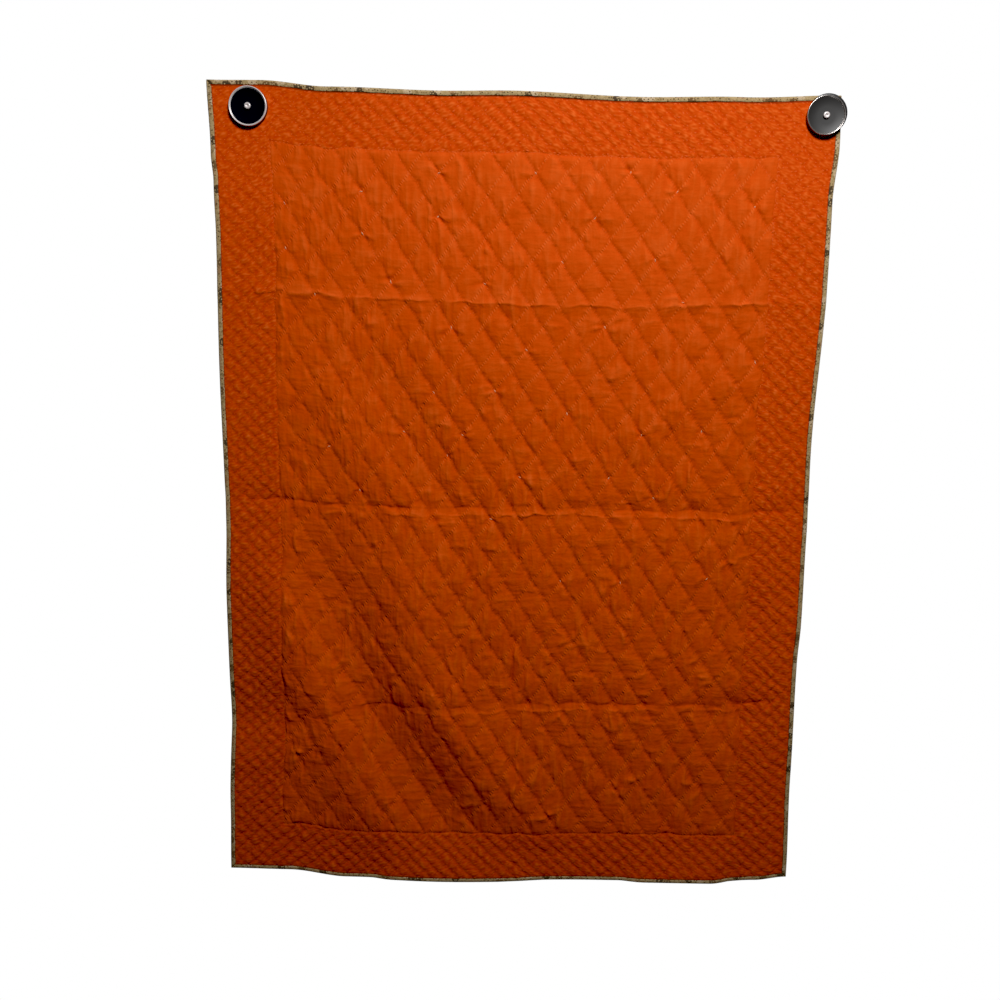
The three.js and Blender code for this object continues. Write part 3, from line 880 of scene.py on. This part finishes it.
def make_stitches(material):
    """Running stitches along every quilting line and round the field."""
    field = line_places(LARGE_WIDE, LARGE_TALL, FIELD_STITCHES, True,
                        lambda a, d: in_field(a, d) & (field_edge_distance(a, d) > STITCH_CLEAR))
    border = line_places(SMALL_WIDE, SMALL_TALL, BORDER_STITCHES, False,
                         lambda a, d: ~in_field(a, d) & (field_edge_distance(a, d) > STITCH_CLEAR)
                         & (binding_distance(a, d) > STITCH_BINDING_CLEAR))
    edge = frame_places(FRAME_PITCH)
    a, d, direction = (np.concatenate(column) for column in zip(field, border, edge))
    drawn = np.random.default_rng(SEEDS["stitches"])
    swing = drawn.normal(0.0, STITCH_SWING, len(a))
    turned = np.stack([direction[:, 0] * np.cos(swing) - direction[:, 1] * np.sin(swing),
                       direction[:, 0] * np.sin(swing) + direction[:, 1] * np.cos(swing)], axis=-1)
    longer = np.where(in_field(a, d), 1.0, BORDER_STITCH_LONG) * drawn.uniform(*STITCH_LENGTHS, len(a))
    sizes = (STITCH_LONG, STITCH_WIDE, STITCH_TALL)
    return make_threads("quilting_stitches", a, d, turned * longer[:, None], sizes, STITCH_SUNK, material)


TACK_THREAD = (5.8, 1.6, 1.2)  # long, wide, tall
TACK_RAISED = 0.5
TACK_CROSSING = 1.3  # turn of the shorter thread against the longer one, in radians
TACK_SHORT = 0.55


def make_tacks(material):
    """Pale knots: a longer thread end and a shorter one across it at each tack."""
    a, d = TACK_PLACES.T
    turn = np.random.default_rng(SEEDS["tacks"]).uniform(0, math.pi, len(a))
    turns = np.concatenate([turn, turn + TACK_CROSSING])
    direction = np.stack([np.cos(turns), np.sin(turns)], axis=-1)
    direction[len(a):] *= TACK_SHORT
    a, d = np.tile(a, 2), np.tile(d, 2)
    return make_threads("tack_knots", a, d, direction, TACK_THREAD, TACK_RAISED, material)


# Binding

LIP_INSIDE = 1.75
LIP_OUTSIDE = 2.4
BINDING_STEP = 4.0
# Half of the folded section, from the lip's inner corner to the fold. Columns: share of the width, lift.
BINDING_SECTION = [
    (1.0, LIP_INSIDE), (1.02, 2.1), (0.97, LIP_OUTSIDE), (0.7, 2.55), (0.4, 2.6), (0.2, 2.3), (0.06, 1.6),
    (0.0, 0.7),
]
BINDING_SLOT = 1.1
SLOT_ROUND = 0.15
BINDING_GAP = 0.3
BINDING_END = 0.25  # clearance at each mitre
WALL_CLEAR = 0.05
# How far the soft edge laps over the cloth
BINDING_LAP = {"top": 0.0, "bottom": 0.6, "left": 1.4, "right": 1.4}
# Unevenness: share of the width, its waves as reach and span, then how far and how densely it puffs
BINDING_UNEVEN = 0.14
BINDING_WAVES = [(0.5, 23.0), (0.25, 9.0)]
BINDING_PUFF = 0.35
PUFF_SPANS = (7.0, 9.0)
PUFF_START = 0.3


def make_binding(side, width, ends, lay, length, material):
    """One strip folded over an edge and mitred at both ends."""
    seed = BINDING_SEEDS[side]
    reach = width - BINDING_GAP + BINDING_LAP[side]
    front = [(share * reach, lift) for share, lift in BINDING_SECTION]
    section = front + [(inset, -lift) for inset, lift in reversed(front)]
    section += [(BINDING_SLOT, -LIP_INSIDE + SLOT_ROUND), (BINDING_SLOT, LIP_INSIDE - SLOT_ROUND)]
    inset, lift = np.array(section).T
    girth = np.concatenate([[0.0], np.cumsum(np.hypot(np.diff(inset), np.diff(lift)))])
    count = int(length / BINDING_STEP)
    share = np.linspace(0.0, 1.0, count + 1)[:, None]
    start = inset * ends[0] / width + BINDING_END
    end = length - inset * ends[1] / width - BINDING_END
    along = mix(start, end, share)
    uneven = BINDING_UNEVEN * wavering(along, BINDING_WAVES, seed)
    outer = smooth((np.abs(lift) - LIP_INSIDE) / PUFF_START)
    inset = inset * (1.0 + uneven * smooth(inset / reach))
    puff = gradient_noise(along / PUFF_SPANS[0], inset / PUFF_SPANS[1] + seed, seed + len(BINDING_WAVES))
    lift = lift + outer * np.sign(lift) * BINDING_PUFF * puff
    points = lay(along, inset, lift)
    points[..., 1] = np.minimum(points[..., 1], -WALL_CLEAR * MM)
    rings, sides = points.shape[:2]
    first = np.arange((rings - 1) * sides).reshape(rings - 1, sides)
    beside = np.roll(first, -1, axis=1)
    faces = np.stack([first, beside, beside + sides, first + sides], axis=-1).reshape(-1, 4).tolist()
    faces += [list(range(sides))[::-1], list(range((rings - 1) * sides, rings * sides))]
    flat = np.stack([along, np.broadcast_to(girth, along.shape)], axis=-1).reshape(-1, 2)
    strip = mesh_piece(f"binding_strip_{side}", points.reshape(-1, 3), faces, material, flat)
    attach(strip, "root")
    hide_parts(f"binding_{side}")
    return strip


def lay_top(along, inset, lift):
    return hang(along, inset, -lift)


def lay_bottom(along, inset, lift):
    return hang(along, HEIGHT - inset, lift)


def lay_left(along, inset, lift):
    return hang(inset, along, lift)


def lay_right(along, inset, lift):
    return hang(WIDTH - inset, along, -lift)


def make_bindings(material):
    """All four strips, each with the widths that its mitred ends meet."""
    sides = (SIDE_BINDING, SIDE_BINDING)
    caps = (TOP_BINDING, HEM_BINDING)
    return [
        make_binding("top", TOP_BINDING, sides, lay_top, WIDTH, material),
        make_binding("bottom", HEM_BINDING, sides, lay_bottom, WIDTH, material),
        make_binding("left", SIDE_BINDING, caps, lay_left, HEIGHT, material),
        make_binding("right", SIDE_BINDING, caps, lay_right, HEIGHT, material),
    ]


# Magnets

MAGNET_RADIUS = 27.5
BACK_DEEP = 3.0
STUD_SEAT = 1.1
MAGNET_GAP = 0.3
PINNED_FRONT = 2.35  # from the pressed cloth's middle to its front
MAGNET_LEAN = {"left": 0.0, "right": 3.0}
MAGNET_SLIP = {"left": (0.0, 0.0), "right": (2.4, 2.8)}  # how far the back has slipped right and up
# Profiles. Columns: radius, distance in front of the piece's back.
BACK_PROFILE = [
    (0, 0), (26.9, 0), (27.6, 0.2), (27.9, 0.7), (27.9, 2.3), (27.6, 2.8), (26.9, BACK_DEEP),
    (0, BACK_DEEP),
]
FACE_PROFILE = [
    (0, 0), (26.3, 0), (27.2, 0.25), (27.5, 0.8), (27.5, 2.5), (27.25, 3.0), (26.7, 3.2), (26.1, 3.1),
    (25.7, 2.7), (25.4, 2.0), (24.9, 1.8), (12.0, 1.4), (0, STUD_SEAT),
]
STUD_PROFILE = [
    (0, 0), (4.6, 0), (4.6, 1.7), (4.3, 2.4), (3.7, 2.8), (1.9, 2.8), (1.6, 2.5), (1.6, 1.4), (0, 1.4),
]
RIM_RADIUS = 25.3
LATHE_STEPS = 96


def make_lathe(name, profile, place, materials, rim_radius=None):
    """Turned piece, its faces outside rim_radius in the second material."""
    rings = [(radius, height) for radius, height in profile if radius > 0]
    angles = np.linspace(0, 2 * math.pi, LATHE_STEPS, endpoint=False)
    points = []
    for radius, height in rings:
        points += [(radius * math.cos(angle), height, radius * math.sin(angle)) for angle in angles]
    points += [(0, profile[0][1], 0), (0, profile[-1][1], 0)]
    bottom, top = len(points) - 2, len(points) - 1
    faces = []
    for k in range(len(rings) - 1):
        for j in range(LATHE_STEPS):
            following = (j + 1) % LATHE_STEPS
            here, above = k * LATHE_STEPS, (k + 1) * LATHE_STEPS
            faces.append((here + j, above + j, above + following, here + following))
    last = (len(rings) - 1) * LATHE_STEPS
    for j in range(LATHE_STEPS):
        following = (j + 1) % LATHE_STEPS
        faces.append((bottom, j, following))
        faces.append((top, last + following, last + j))
    points = [place @ (Vector(point) * MM) for point in points]
    piece = mesh_piece(name, [tuple(point) for point in points], faces, materials[0])
    if rim_radius is not None:
        piece.data.materials.append(materials[1])
        for polygon in piece.data.polygons:
            ring = min(min(polygon.vertices) // LATHE_STEPS, len(rings) - 1)
            polygon.material_index = int(rings[ring][0] > rim_radius)
    return piece


def make_magnet(name, body, faces, rims, painted_glint_steel):
    """Dark body, dished mirror face with a bright rim, and a stud with a hole."""
    x, z = MAGNETS[name]
    lean = math.radians(MAGNET_LEAN[name])
    clear = PINNED_DEPTH + PINNED_FRONT + MAGNET_GAP + MAGNET_RADIUS * math.sin(lean)
    turn = Matrix.Rotation(math.pi, 4, "X") @ Matrix.Rotation(lean, 4, "Z")
    seat = Matrix.Translation(Vector((x, -clear, z)) * MM) @ turn
    face_seat = BACK_DEEP + MAGNET_GAP
    stud_seat = face_seat + STUD_SEAT + 2 * MAGNET_GAP
    slip = MAGNET_SLIP[name]
    behind = seat @ Matrix.Translation(Vector((slip[0], 0.0, -slip[1])) * MM)
    pieces = [
        (make_lathe(f"{name}_magnet_body", BACK_PROFILE, behind, [body]), "back", "magnet_body"),
        (make_lathe(f"{name}_magnet_face", FACE_PROFILE, seat @ Matrix.Translation((0, face_seat * MM, 0)),
                    [faces[name], rims[name]], RIM_RADIUS), "face", "magnet_face"),
        (make_lathe(f"{name}_magnet_stud", STUD_PROFILE, seat @ Matrix.Translation((0, stud_seat * MM, 0)),
                    [painted_glint_steel]), "stud", "bright_steel"),
    ]
    for piece, node, slot in pieces:
        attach(piece, "root")
        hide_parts(f"magnet_{node}_{name}")


# Materials

class Signal:
    """A shader number that takes part in sums."""

    def __init__(self, graph, socket):
        self.graph = graph
        self.socket = socket

    def __add__(self, other):
        return self.graph.math("ADD", self, other)

    def __sub__(self, other):
        return self.graph.math("SUBTRACT", self, other)

    def __rsub__(self, other):
        return self.graph.math("SUBTRACT", other, self)

    def __mul__(self, other):
        return self.graph.math("MULTIPLY", self, other)

    __radd__ = __add__
    __rmul__ = __mul__


class Graph:
    """Small helper that adds shader nodes to a new material."""

    def __init__(self, name):
        self.material = bpy.data.materials.new(name)
        self.material.use_nodes = True
        self.tree = self.material.node_tree
        self.shader = self.tree.nodes["Principled BSDF"]

    def put(self, value, socket):
        """Link a signal to a socket, or set a constant on it."""
        value = value.socket if isinstance(value, Signal) else value
        if isinstance(value, bpy.types.NodeSocket):
            self.tree.links.new(value, socket)
        else:
            socket.default_value = value

    def add(self, kind, inputs=(), **settings):
        node = self.tree.nodes.new(kind)
        for setting, value in settings.items():
            setattr(node, setting, value)
        for socket, value in dict(inputs).items():
            self.put(value, node.inputs[socket])
        return node

    def math(self, operation, *values):
        node = self.add("ShaderNodeMath", enumerate(values), operation=operation)
        return Signal(self, node.outputs[0])

    def flat(self):
        """Places on the flat cloth in millimetres: across and down."""
        place = self.add("ShaderNodeUVMap", uv_map="flat").outputs[0]
        parts = self.add("ShaderNodeSeparateXYZ", [(0, place)])
        across, down = (Signal(self, part) * (1.0 / MM) for part in parts.outputs[:2])
        return across, down

    def pair(self, u, v):
        return self.add("ShaderNodeCombineXYZ", [(0, u), (1, v)]).outputs[0]

    def noise(self, u, v, detail=2.0, rough=0.5):
        """Noise from about -1 to 1, one bump to each unit of u and v."""
        inputs = {"Vector": self.pair(u, v), "Scale": 1.0, "Detail": detail, "Roughness": rough}
        node = self.add("ShaderNodeTexNoise", inputs, noise_dimensions="2D")
        return Signal(self, node.outputs["Fac"]) * 2.0 - 1.0

    def step(self, value, low, high):
        """Smooth step of a value between two limits."""
        limits = [(0, value), (1, low), (2, high)]
        node = self.add("ShaderNodeMapRange", limits, interpolation_type="SMOOTHSTEP")
        return Signal(self, node.outputs[0])

    def ramp(self, value, stops, interpolation="LINEAR"):
        node = self.add("ShaderNodeValToRGB", [("Fac", value)])
        node.color_ramp.interpolation = interpolation
        elements = node.color_ramp.elements
        while len(elements) < len(stops):
            elements.new(0.5)
        for element, (position, colour) in zip(elements, stops):
            element.position = position
            element.color = (*colour, 1.0)
        return node.outputs["Color"]

    def blend(self, share, start, end):
        node = self.add("ShaderNodeMix", [(0, share), (6, start), (7, end)], data_type="RGBA")
        return node.outputs[2]

    def bump(self, height):
        """Fine relief, its height given in millimetres."""
        node = self.add("ShaderNodeBump", [("Strength", 1.0), ("Distance", MM), ("Height", height)])
        self.link(node.outputs[0], "Normal")

    def link(self, value, socket):
        self.put(value, self.shader.inputs[socket])

    def set(self, **values):
        for socket, value in values.items():
            self.shader.inputs[socket.replace("_", " ")].default_value = value


COTTON = (0.78, 0.101, 0.0145)
# The paler and darker cotton serve for uneven tone and also for painted light and painted shade
COTTON_PALE_AND_LIT = (0.93, 0.165, 0.032)
COTTON_DARK_AND_SHADED = (0.68, 0.066, 0.010)
COTTON_SHADE = (0.25, 0.030, 0.012)

# Fine relief at the sewn lines: depth and narrowness of the grooves, then the puckers across them
FRAME_GROOVE = 0.5
FRAME_NARROW = 0.3
LINE_GROOVE = 0.4
FINE_RISES = (0.95, 0.5)  # in the field, then in the border
FINE_NARROW = 0.35
FINE_LONG = 6.0
FINE_TURN = 2.0
# Pale rungs of thread along the lines: pitch, narrowness, lightness and how unevenly they follow
RUNG_PITCH = 4.0
RUNG_NARROW = 0.3
RUNG_LIGHT = 0.7
RUNG_JITTER = 2.6
JITTER_SPAN = 14.0
# Looks of the rising and the falling lines. Columns: narrowness of the groove, share of pale rungs.
RISING_LOOK = (0.25, 1.0)
FALLING_LOOK = (0.10, 0.3)
# Reach from the lines of the painted light on the border's domes
PAINTED_DOME_LIGHT_REACH = 0.42


def by_place(field, inside, outside):
    """Number that differs between the field and the border."""
    return field * (inside - outside) + outside


def sewn_relief(graph, a, d, field):
    """Relief at the sewn lines, then the closeness to a line, the pale rungs and the border's puffs."""
    large, small = (LARGE_WIDE, LARGE_TALL), (SMALL_WIDE, SMALL_TALL)
    spacing = by_place(field, float(line_spacing(*large)), float(line_spacing(*small)))
    side = by_place(field, float(side_length(*large)), float(side_length(*small)))
    across = (a - FIELD_LEFT) * by_place(field, 1.0 / LARGE_WIDE, 1.0 / SMALL_WIDE)
    down = (d - FIELD_TOP) * by_place(field, 1.0 / LARGE_TALL, 1.0 / SMALL_TALL)
    drifts = sewn_drift(a, d)
    rising = across + down - field * drifts[0]
    falling = across - down - field * drifts[1]
    jitter = graph.noise(a * (1.0 / JITTER_SPAN), d * (1.0 / JITTER_SPAN), 1.0) * RUNG_JITTER
    beside = graph.math("ABSOLUTE", a - (FIELD_LEFT + FIELD_RIGHT) / 2.0) - (FIELD_RIGHT - FIELD_LEFT) / 2.0
    beyond = graph.math("ABSOLUTE", d - (FIELD_TOP + FIELD_BOTTOM) / 2.0) - (FIELD_BOTTOM - FIELD_TOP) / 2.0
    frame_gap = graph.math("MAXIMUM", beside, beyond)
    seam = graph.math("EXPONENT", frame_gap * frame_gap * -FRAME_NARROW)
    height, rungs, puffs = seam * -FRAME_GROOVE, 0.0, []
    turn = graph.step(a, *SHARE_TURNS)
    for number, other, shares, narrow, pale in ((rising, falling, RISING_SHARES, *RISING_LOOK),
                                                (falling, rising, FALLING_SHARES, *FALLING_LOOK)):
        nearest = graph.math("ROUND", number)
        offset = number - nearest
        apart = graph.math("ABSOLUTE", offset)
        gap = apart * spacing
        along = other * side
        near = graph.math("EXPONENT", gap * gap * -narrow) * mix(*shares, turn)
        fade = graph.math("EXPONENT", gap * -FINE_NARROW)
        pucker = graph.noise(along * (1.0 / FINE_LONG), nearest * LINE_TURN + offset * FINE_TURN, 1.0)
        height = height - near * LINE_GROOVE + fade * pucker * by_place(field, *FINE_RISES)
        ladder = graph.math("COSINE", along * (2.0 * math.pi / RUNG_PITCH) + jitter)
        rungs = rungs + graph.math("EXPONENT", gap * gap * -RUNG_NARROW) * (ladder + RUNG_LIGHT) * pale
        seam = graph.math("MAXIMUM", seam, near)
        puffs.append(apart)
    # Paler middles of the border's small diamonds: painted light on their domes
    puff = graph.step(graph.math("MINIMUM", *puffs), 0.0, PAINTED_DOME_LIGHT_REACH)
    return height, seam, rungs * field, puff * (1.0 - field)


# Fine wrinkles of the field: spans across and down, rise, and the patches in which they fade in
UPRIGHT_SPANS = (9.0, 44.0)
UPRIGHT_RISE = 1.2
UPRIGHT_PATCHES = (-0.6, 0.3)
LEVEL_SPANS = (40.0, 8.0)
LEVEL_RISE = 0.45
LEVEL_PATCHES = (0.5, -0.4)
PATCH_SPANS = (90.0, 110.0)
# Crinkles all over: span, roughness, rise in the field and in the border
CRINKLE_SPAN = 14.0
CRINKLE_ROUGH = 0.55
CRINKLE_RISES = (0.65, 0.32)
# Slanting ticks of the border: slant, length, width, rise
TICK_LEAN = 0.4
TICK_SPANS = (7.5, 3.2)
TICK_RISE = 0.17
RUNG_RISE = 0.20
LOOSE = (0.75, 1.10)  # share of the fine relief at the top and towards the hem
THREAD_RATE = 0.45  # threads to a millimetre, then their slubs
SLUB_RATE = 0.03
# How much each of these turns the cotton paler, or the border darker. Crests, wrinkles, ticks and puffs
# paint light on raised parts and shade in hollows.
TONES_AND_PAINTED_LIGHT = {
    "threads": 0.05, "clouds": 0.08, "crests": 0.06, "wrinkles": 0.15,
    "rungs": 0.22, "ticks": 0.38, "puffs": 0.20, "border": 0.15,
}
# Painted shade in the grooves of the sewn lines and the stitched rectangle
SEAM_PAINTED_SHADE = 0.35
TUCKED_REACH = (3.2, 1.0)  # from the binding, where its shade begins and where it is full
TUCKED_DARK = 0.75


def cotton_material():
    """Orange plain-weave cotton with uneven threads, fine crinkles and sharp sewn lines."""
    graph = Graph("orange_cotton")
    graph.set(Roughness=0.9, Specular_IOR_Level=0.06)
    a, d = graph.flat()
    field = graph.math("GREATER_THAN", a, FIELD_LEFT) * graph.math("LESS_THAN", a, FIELD_RIGHT)
    field = field * graph.math("GREATER_THAN", d, FIELD_TOP) * graph.math("LESS_THAN", d, FIELD_BOTTOM)
    sewn, seam, rungs, puff = sewn_relief(graph, a, d, field)
    upright, level, patch = (graph.noise(a * (1.0 / across), d * (1.0 / down), 1.0)
                             for across, down in (UPRIGHT_SPANS, LEVEL_SPANS, PATCH_SPANS))
    crumple = graph.noise(a * (1.0 / CRINKLE_SPAN), d * (1.0 / CRINKLE_SPAN), 3.0, CRINKLE_ROUGH)
    lean = graph.math("LESS_THAN", a, WIDTH / 2.0) * (2.0 * TICK_LEAN) - TICK_LEAN
    tick_place = ((a - d * lean) * (1.0 / TICK_SPANS[0]), (d + a * lean) * (1.0 / TICK_SPANS[1]))
    tick = graph.noise(*tick_place, 0.0) * (1.0 - field)
    wrinkled = upright * graph.step(patch, *UPRIGHT_PATCHES) * UPRIGHT_RISE
    wrinkled = wrinkled + level * graph.step(patch, *LEVEL_PATCHES) * LEVEL_RISE
    loose = graph.step(d, *SLACK_TURNS) * (LOOSE[1] - LOOSE[0]) + LOOSE[0]
    fine = wrinkled * field + crumple * by_place(field, *CRINKLE_RISES)
    graph.bump((sewn + fine + rungs * RUNG_RISE + tick * TICK_RISE) * loose)
    warp = graph.noise(a * THREAD_RATE, d * SLUB_RATE, 2.0)
    threads = warp + graph.noise(a * SLUB_RATE, d * THREAD_RATE, 2.0)
    crest = Signal(graph, graph.add("ShaderNodeAttribute", attribute_name="crest").outputs["Fac"])
    cloudy = graph.noise(a * SLUB_RATE, d * SLUB_RATE, 3.0)
    shade = threads * TONES_AND_PAINTED_LIGHT["threads"] + cloudy * TONES_AND_PAINTED_LIGHT["clouds"] + 0.5
    # Raised crests, wrinkles and crinkles turn paler and sunk ones darker: painted light and painted shade
    shade = shade + crest * TONES_AND_PAINTED_LIGHT["crests"] + fine * TONES_AND_PAINTED_LIGHT["wrinkles"] + rungs * TONES_AND_PAINTED_LIGHT["rungs"]
    # The border's raised ticks and dome middles turn paler: painted light
    shade = shade + tick * TONES_AND_PAINTED_LIGHT["ticks"] + puff * TONES_AND_PAINTED_LIGHT["puffs"] - (1.0 - field) * TONES_AND_PAINTED_LIGHT["border"]
    colour = graph.ramp(shade, [(0.15, COTTON_DARK_AND_SHADED), (0.5, COTTON), (0.85, COTTON_PALE_AND_LIT)])
    # Painted shade along the sewn grooves
    colour = graph.blend(seam * SEAM_PAINTED_SHADE, colour, (*COTTON_DARK_AND_SHADED, 1.0))
    nearest_side = graph.math("MINIMUM", a - SIDE_BINDING, WIDTH - SIDE_BINDING - a)
    nearest_end = graph.math("MINIMUM", d - TOP_BINDING, HEIGHT - HEM_BINDING - d)
    tucked = graph.step(graph.math("MINIMUM", nearest_side, nearest_end), *TUCKED_REACH)
    colour = graph.blend(tucked * TUCKED_DARK, colour, (*COTTON_SHADE, 1.0))
    graph.link(colour, "Base Color")
    return graph.material


def thread_material(name, colour):
    graph = Graph(name)
    graph.set(Base_Color=(*colour, 1.0), Roughness=0.75, Specular_IOR_Level=0.2)
    return graph.material


GROUND_RATE = 0.12  # clouds to a millimetre
GROUND_TINTS = [(0.3, (0.40, 0.28, 0.13)), (0.7, (0.56, 0.41, 0.21))]
# Scattered motifs. Columns: how many to a millimetre along and across, size, tints by chance.
FLOWERS = ((0.055, 0.07), 0.34, [
    (0.0, (0.11, 0.075, 0.045)), (0.26, (0.22, 0.13, 0.06)), (0.40, (0.46, 0.28, 0.14)),
    (0.62, (0.66, 0.50, 0.32)),
])
LEAVES = ((0.26, 0.30), 0.30, [
    (0.0, (0.15, 0.10, 0.05)), (0.30, (0.28, 0.18, 0.08)), (0.44, (0.56, 0.41, 0.22)),
])
PRINT_WEAVE = (0.5, 0.3)  # threads to a millimetre, rise


def floral_material():
    """Tan cotton with a scattered print of tiny flowers and leaves in browns."""
    graph = Graph("floral_binding")
    graph.set(Roughness=0.9, Specular_IOR_Level=0.1)
    a, d = graph.flat()
    clouds = graph.noise(a * GROUND_RATE, d * GROUND_RATE, 3.0)
    colour = graph.ramp(clouds * 0.5 + 0.5, GROUND_TINTS)
    for (along, across), size, tints in (FLOWERS, LEAVES):
        place = graph.pair(a * along, d * across)
        spots = graph.add("ShaderNodeTexVoronoi", {"Vector": place, "Scale": 1.0}, voronoi_dimensions="2D")
        motif = graph.math("LESS_THAN", spots.outputs["Distance"], size)
        colour = graph.blend(motif, colour, graph.ramp(spots.outputs["Color"], tints, "CONSTANT"))
    graph.link(colour, "Base Color")
    rate, rise = PRINT_WEAVE
    graph.bump(graph.noise(a * rate, d * rate, 3.0) * rise)
    return graph.material


WEAR_SCALE = 300.0
WEAR_ROUGH = 0.08


def metal_material(name, colour, roughness, metallic):
    """Metal or lacquer whose gloss is a little worn."""
    graph = Graph(name)
    graph.set(Base_Color=(*colour, 1.0), Metallic=metallic)
    wear = graph.add("ShaderNodeTexNoise", {"Scale": WEAR_SCALE, "Detail": 4.0})
    graph.link(Signal(graph, wear.outputs["Fac"]) * WEAR_ROUGH + roughness, "Roughness")
    return graph.material


cotton = cotton_material()
floral = floral_material()
thread = thread_material("orange_thread", (0.84, 0.125, 0.022))
pale_thread = thread_material("pale_thread", (0.95, 0.50, 0.28))
# Pale, barely metallic steel: the left rim's bright ring is a painted reflection and the studs' white spots
# a painted highlight
painted_glint_steel = metal_material("bright_steel", (0.90, 0.82, 0.80), 0.28, 0.25)
body_black = metal_material("magnet_body", (0.02, 0.018, 0.018), 0.3, 0.0)
mirrors = {
    "left": metal_material("magnet_face_black", (0.012, 0.014, 0.018), 0.06, 0.0),
    # The right face's grey colour is a painted reflection
    "right": metal_material("magnet_face_painted_grey_reflection", (0.030, 0.028, 0.027), 0.42, 0.1),
}
rims = {"left": painted_glint_steel, "right": metal_material("dark_steel", (0.42, 0.39, 0.37), 0.22, 0.85)}

quilt = make_quilt(cotton)
stitches = make_stitches(thread)
tacks = make_tacks(pale_thread)
for piece in (quilt, stitches, tacks):
    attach(piece, "root")
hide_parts("quilt")
strips = make_bindings(floral)
for magnet in MAGNETS:
    make_magnet(magnet, body_black, mirrors, rims, painted_glint_steel)

# Stage, light and camera

CAMERA_PLACE = (-45.7, -1324.2, -358.0)
CAMERA_PITCH = -9.127
CAMERA_YAW = -0.141
CAMERA_ROLL = 1.126
CAMERA_LENS = 31.0
CAMERA_SENSOR = 36.0


def make_camera():
    camera = bpy.data.objects.new("camera", bpy.data.cameras.new("camera"))
    camera.data.lens = CAMERA_LENS
    camera.data.sensor_width = CAMERA_SENSOR
    turn = Matrix.Rotation(math.radians(CAMERA_YAW), 4, "Z")
    turn @= Matrix.Rotation(math.radians(90.0 + CAMERA_PITCH), 4, "X")
    turn @= Matrix.Rotation(math.radians(CAMERA_ROLL), 4, "Z")
    camera.matrix_world = Matrix.Translation(Vector(CAMERA_PLACE) * MM) @ turn
    bpy.context.scene.collection.objects.link(camera)
    bpy.context.scene.camera = camera


def make_area_light(name, place, target, size, power, spread):
    light = bpy.data.lights.new(name, "AREA")
    light.shape = "RECTANGLE"
    light.size, light.size_y = size
    light.energy = power
    light.spread = math.radians(spread)
    lamp = bpy.data.objects.new(name, light)
    lamp.location = place
    lamp.rotation_euler = (Vector(target) - Vector(place)).to_track_quat("-Z", "Y").to_euler()
    lamp.visible_camera = False
    bpy.context.scene.collection.objects.link(lamp)


def make_world(ambient):
    """White behind the object for the camera, and soft grey light from all round."""
    world = bpy.data.worlds.new("studio")
    world.use_nodes = True
    nodes, links = world.node_tree.nodes, world.node_tree.links
    light = nodes["Background"]
    light.inputs["Color"].default_value = (ambient, ambient, ambient, 1.0)
    backdrop = nodes.new("ShaderNodeBackground")
    backdrop.inputs["Color"].default_value = (1.0, 1.0, 1.0, 1.0)
    path = nodes.new("ShaderNodeLightPath")
    choose = nodes.new("ShaderNodeMixShader")
    links.new(path.outputs["Is Camera Ray"], choose.inputs[0])
    links.new(light.outputs[0], choose.inputs[1])
    links.new(backdrop.outputs[0], choose.inputs[2])
    links.new(choose.outputs[0], nodes["World Output"].inputs["Surface"])
    bpy.context.scene.world = world


# Stage sizes and places are in metres
FLOOR_HEIGHT = -3.0
FLOOR_RADIUS = 0.9
FLOOR_MIDDLE = -0.6
# Soft lights. Columns: name, place, target, size, power in watts, spread in degrees.
LIGHTS = [
    ("key", (0.32, -1.34, 0.88), (0.0, 0.0, -0.65), (0.5, 0.4), 23.6, 165.0),
    ("behind", (-0.5, 1.3, 0.9), (0.0, 0.0, -0.65), (0.6, 0.5), 17.0, 165.0),
    ("below", (0.0, FLOOR_MIDDLE, -1.7), (0.0, FLOOR_MIDDLE, FLOOR_HEIGHT), (1.6, 1.6), 13.0, 120.0),
]
AMBIENT = 0.008
BLACK_LEVEL = 0.010


def make_floor():
    """Plain pale floor, a disc below the blanket and outside the main view, that throws no light back."""
    graph = Graph("pale_floor")
    graph.set(Base_Color=(0.80, 0.79, 0.77, 1.0), Roughness=0.8)
    angles = np.linspace(0, 2 * math.pi, LATHE_STEPS, endpoint=False)
    points = np.stack([
        FLOOR_RADIUS * np.cos(angles), FLOOR_RADIUS * np.sin(angles) + FLOOR_MIDDLE,
        np.full(len(angles), FLOOR_HEIGHT),
    ], axis=-1)
    floor = mesh_piece("floor", points, [range(len(points))], graph.material)
    floor.visible_diffuse = False


def set_tone(black):
    """Plain display with slightly deepened blacks."""
    settings = bpy.context.scene.view_settings
    settings.view_transform = "Standard"
    settings.use_curve_mapping = True
    settings.curve_mapping.black_level = (black, black, black)
    settings.curve_mapping.update()


make_camera()
make_floor()
for light_settings in LIGHTS:
    make_area_light(*light_settings)
make_world(AMBIENT)
set_tone(BLACK_LEVEL)
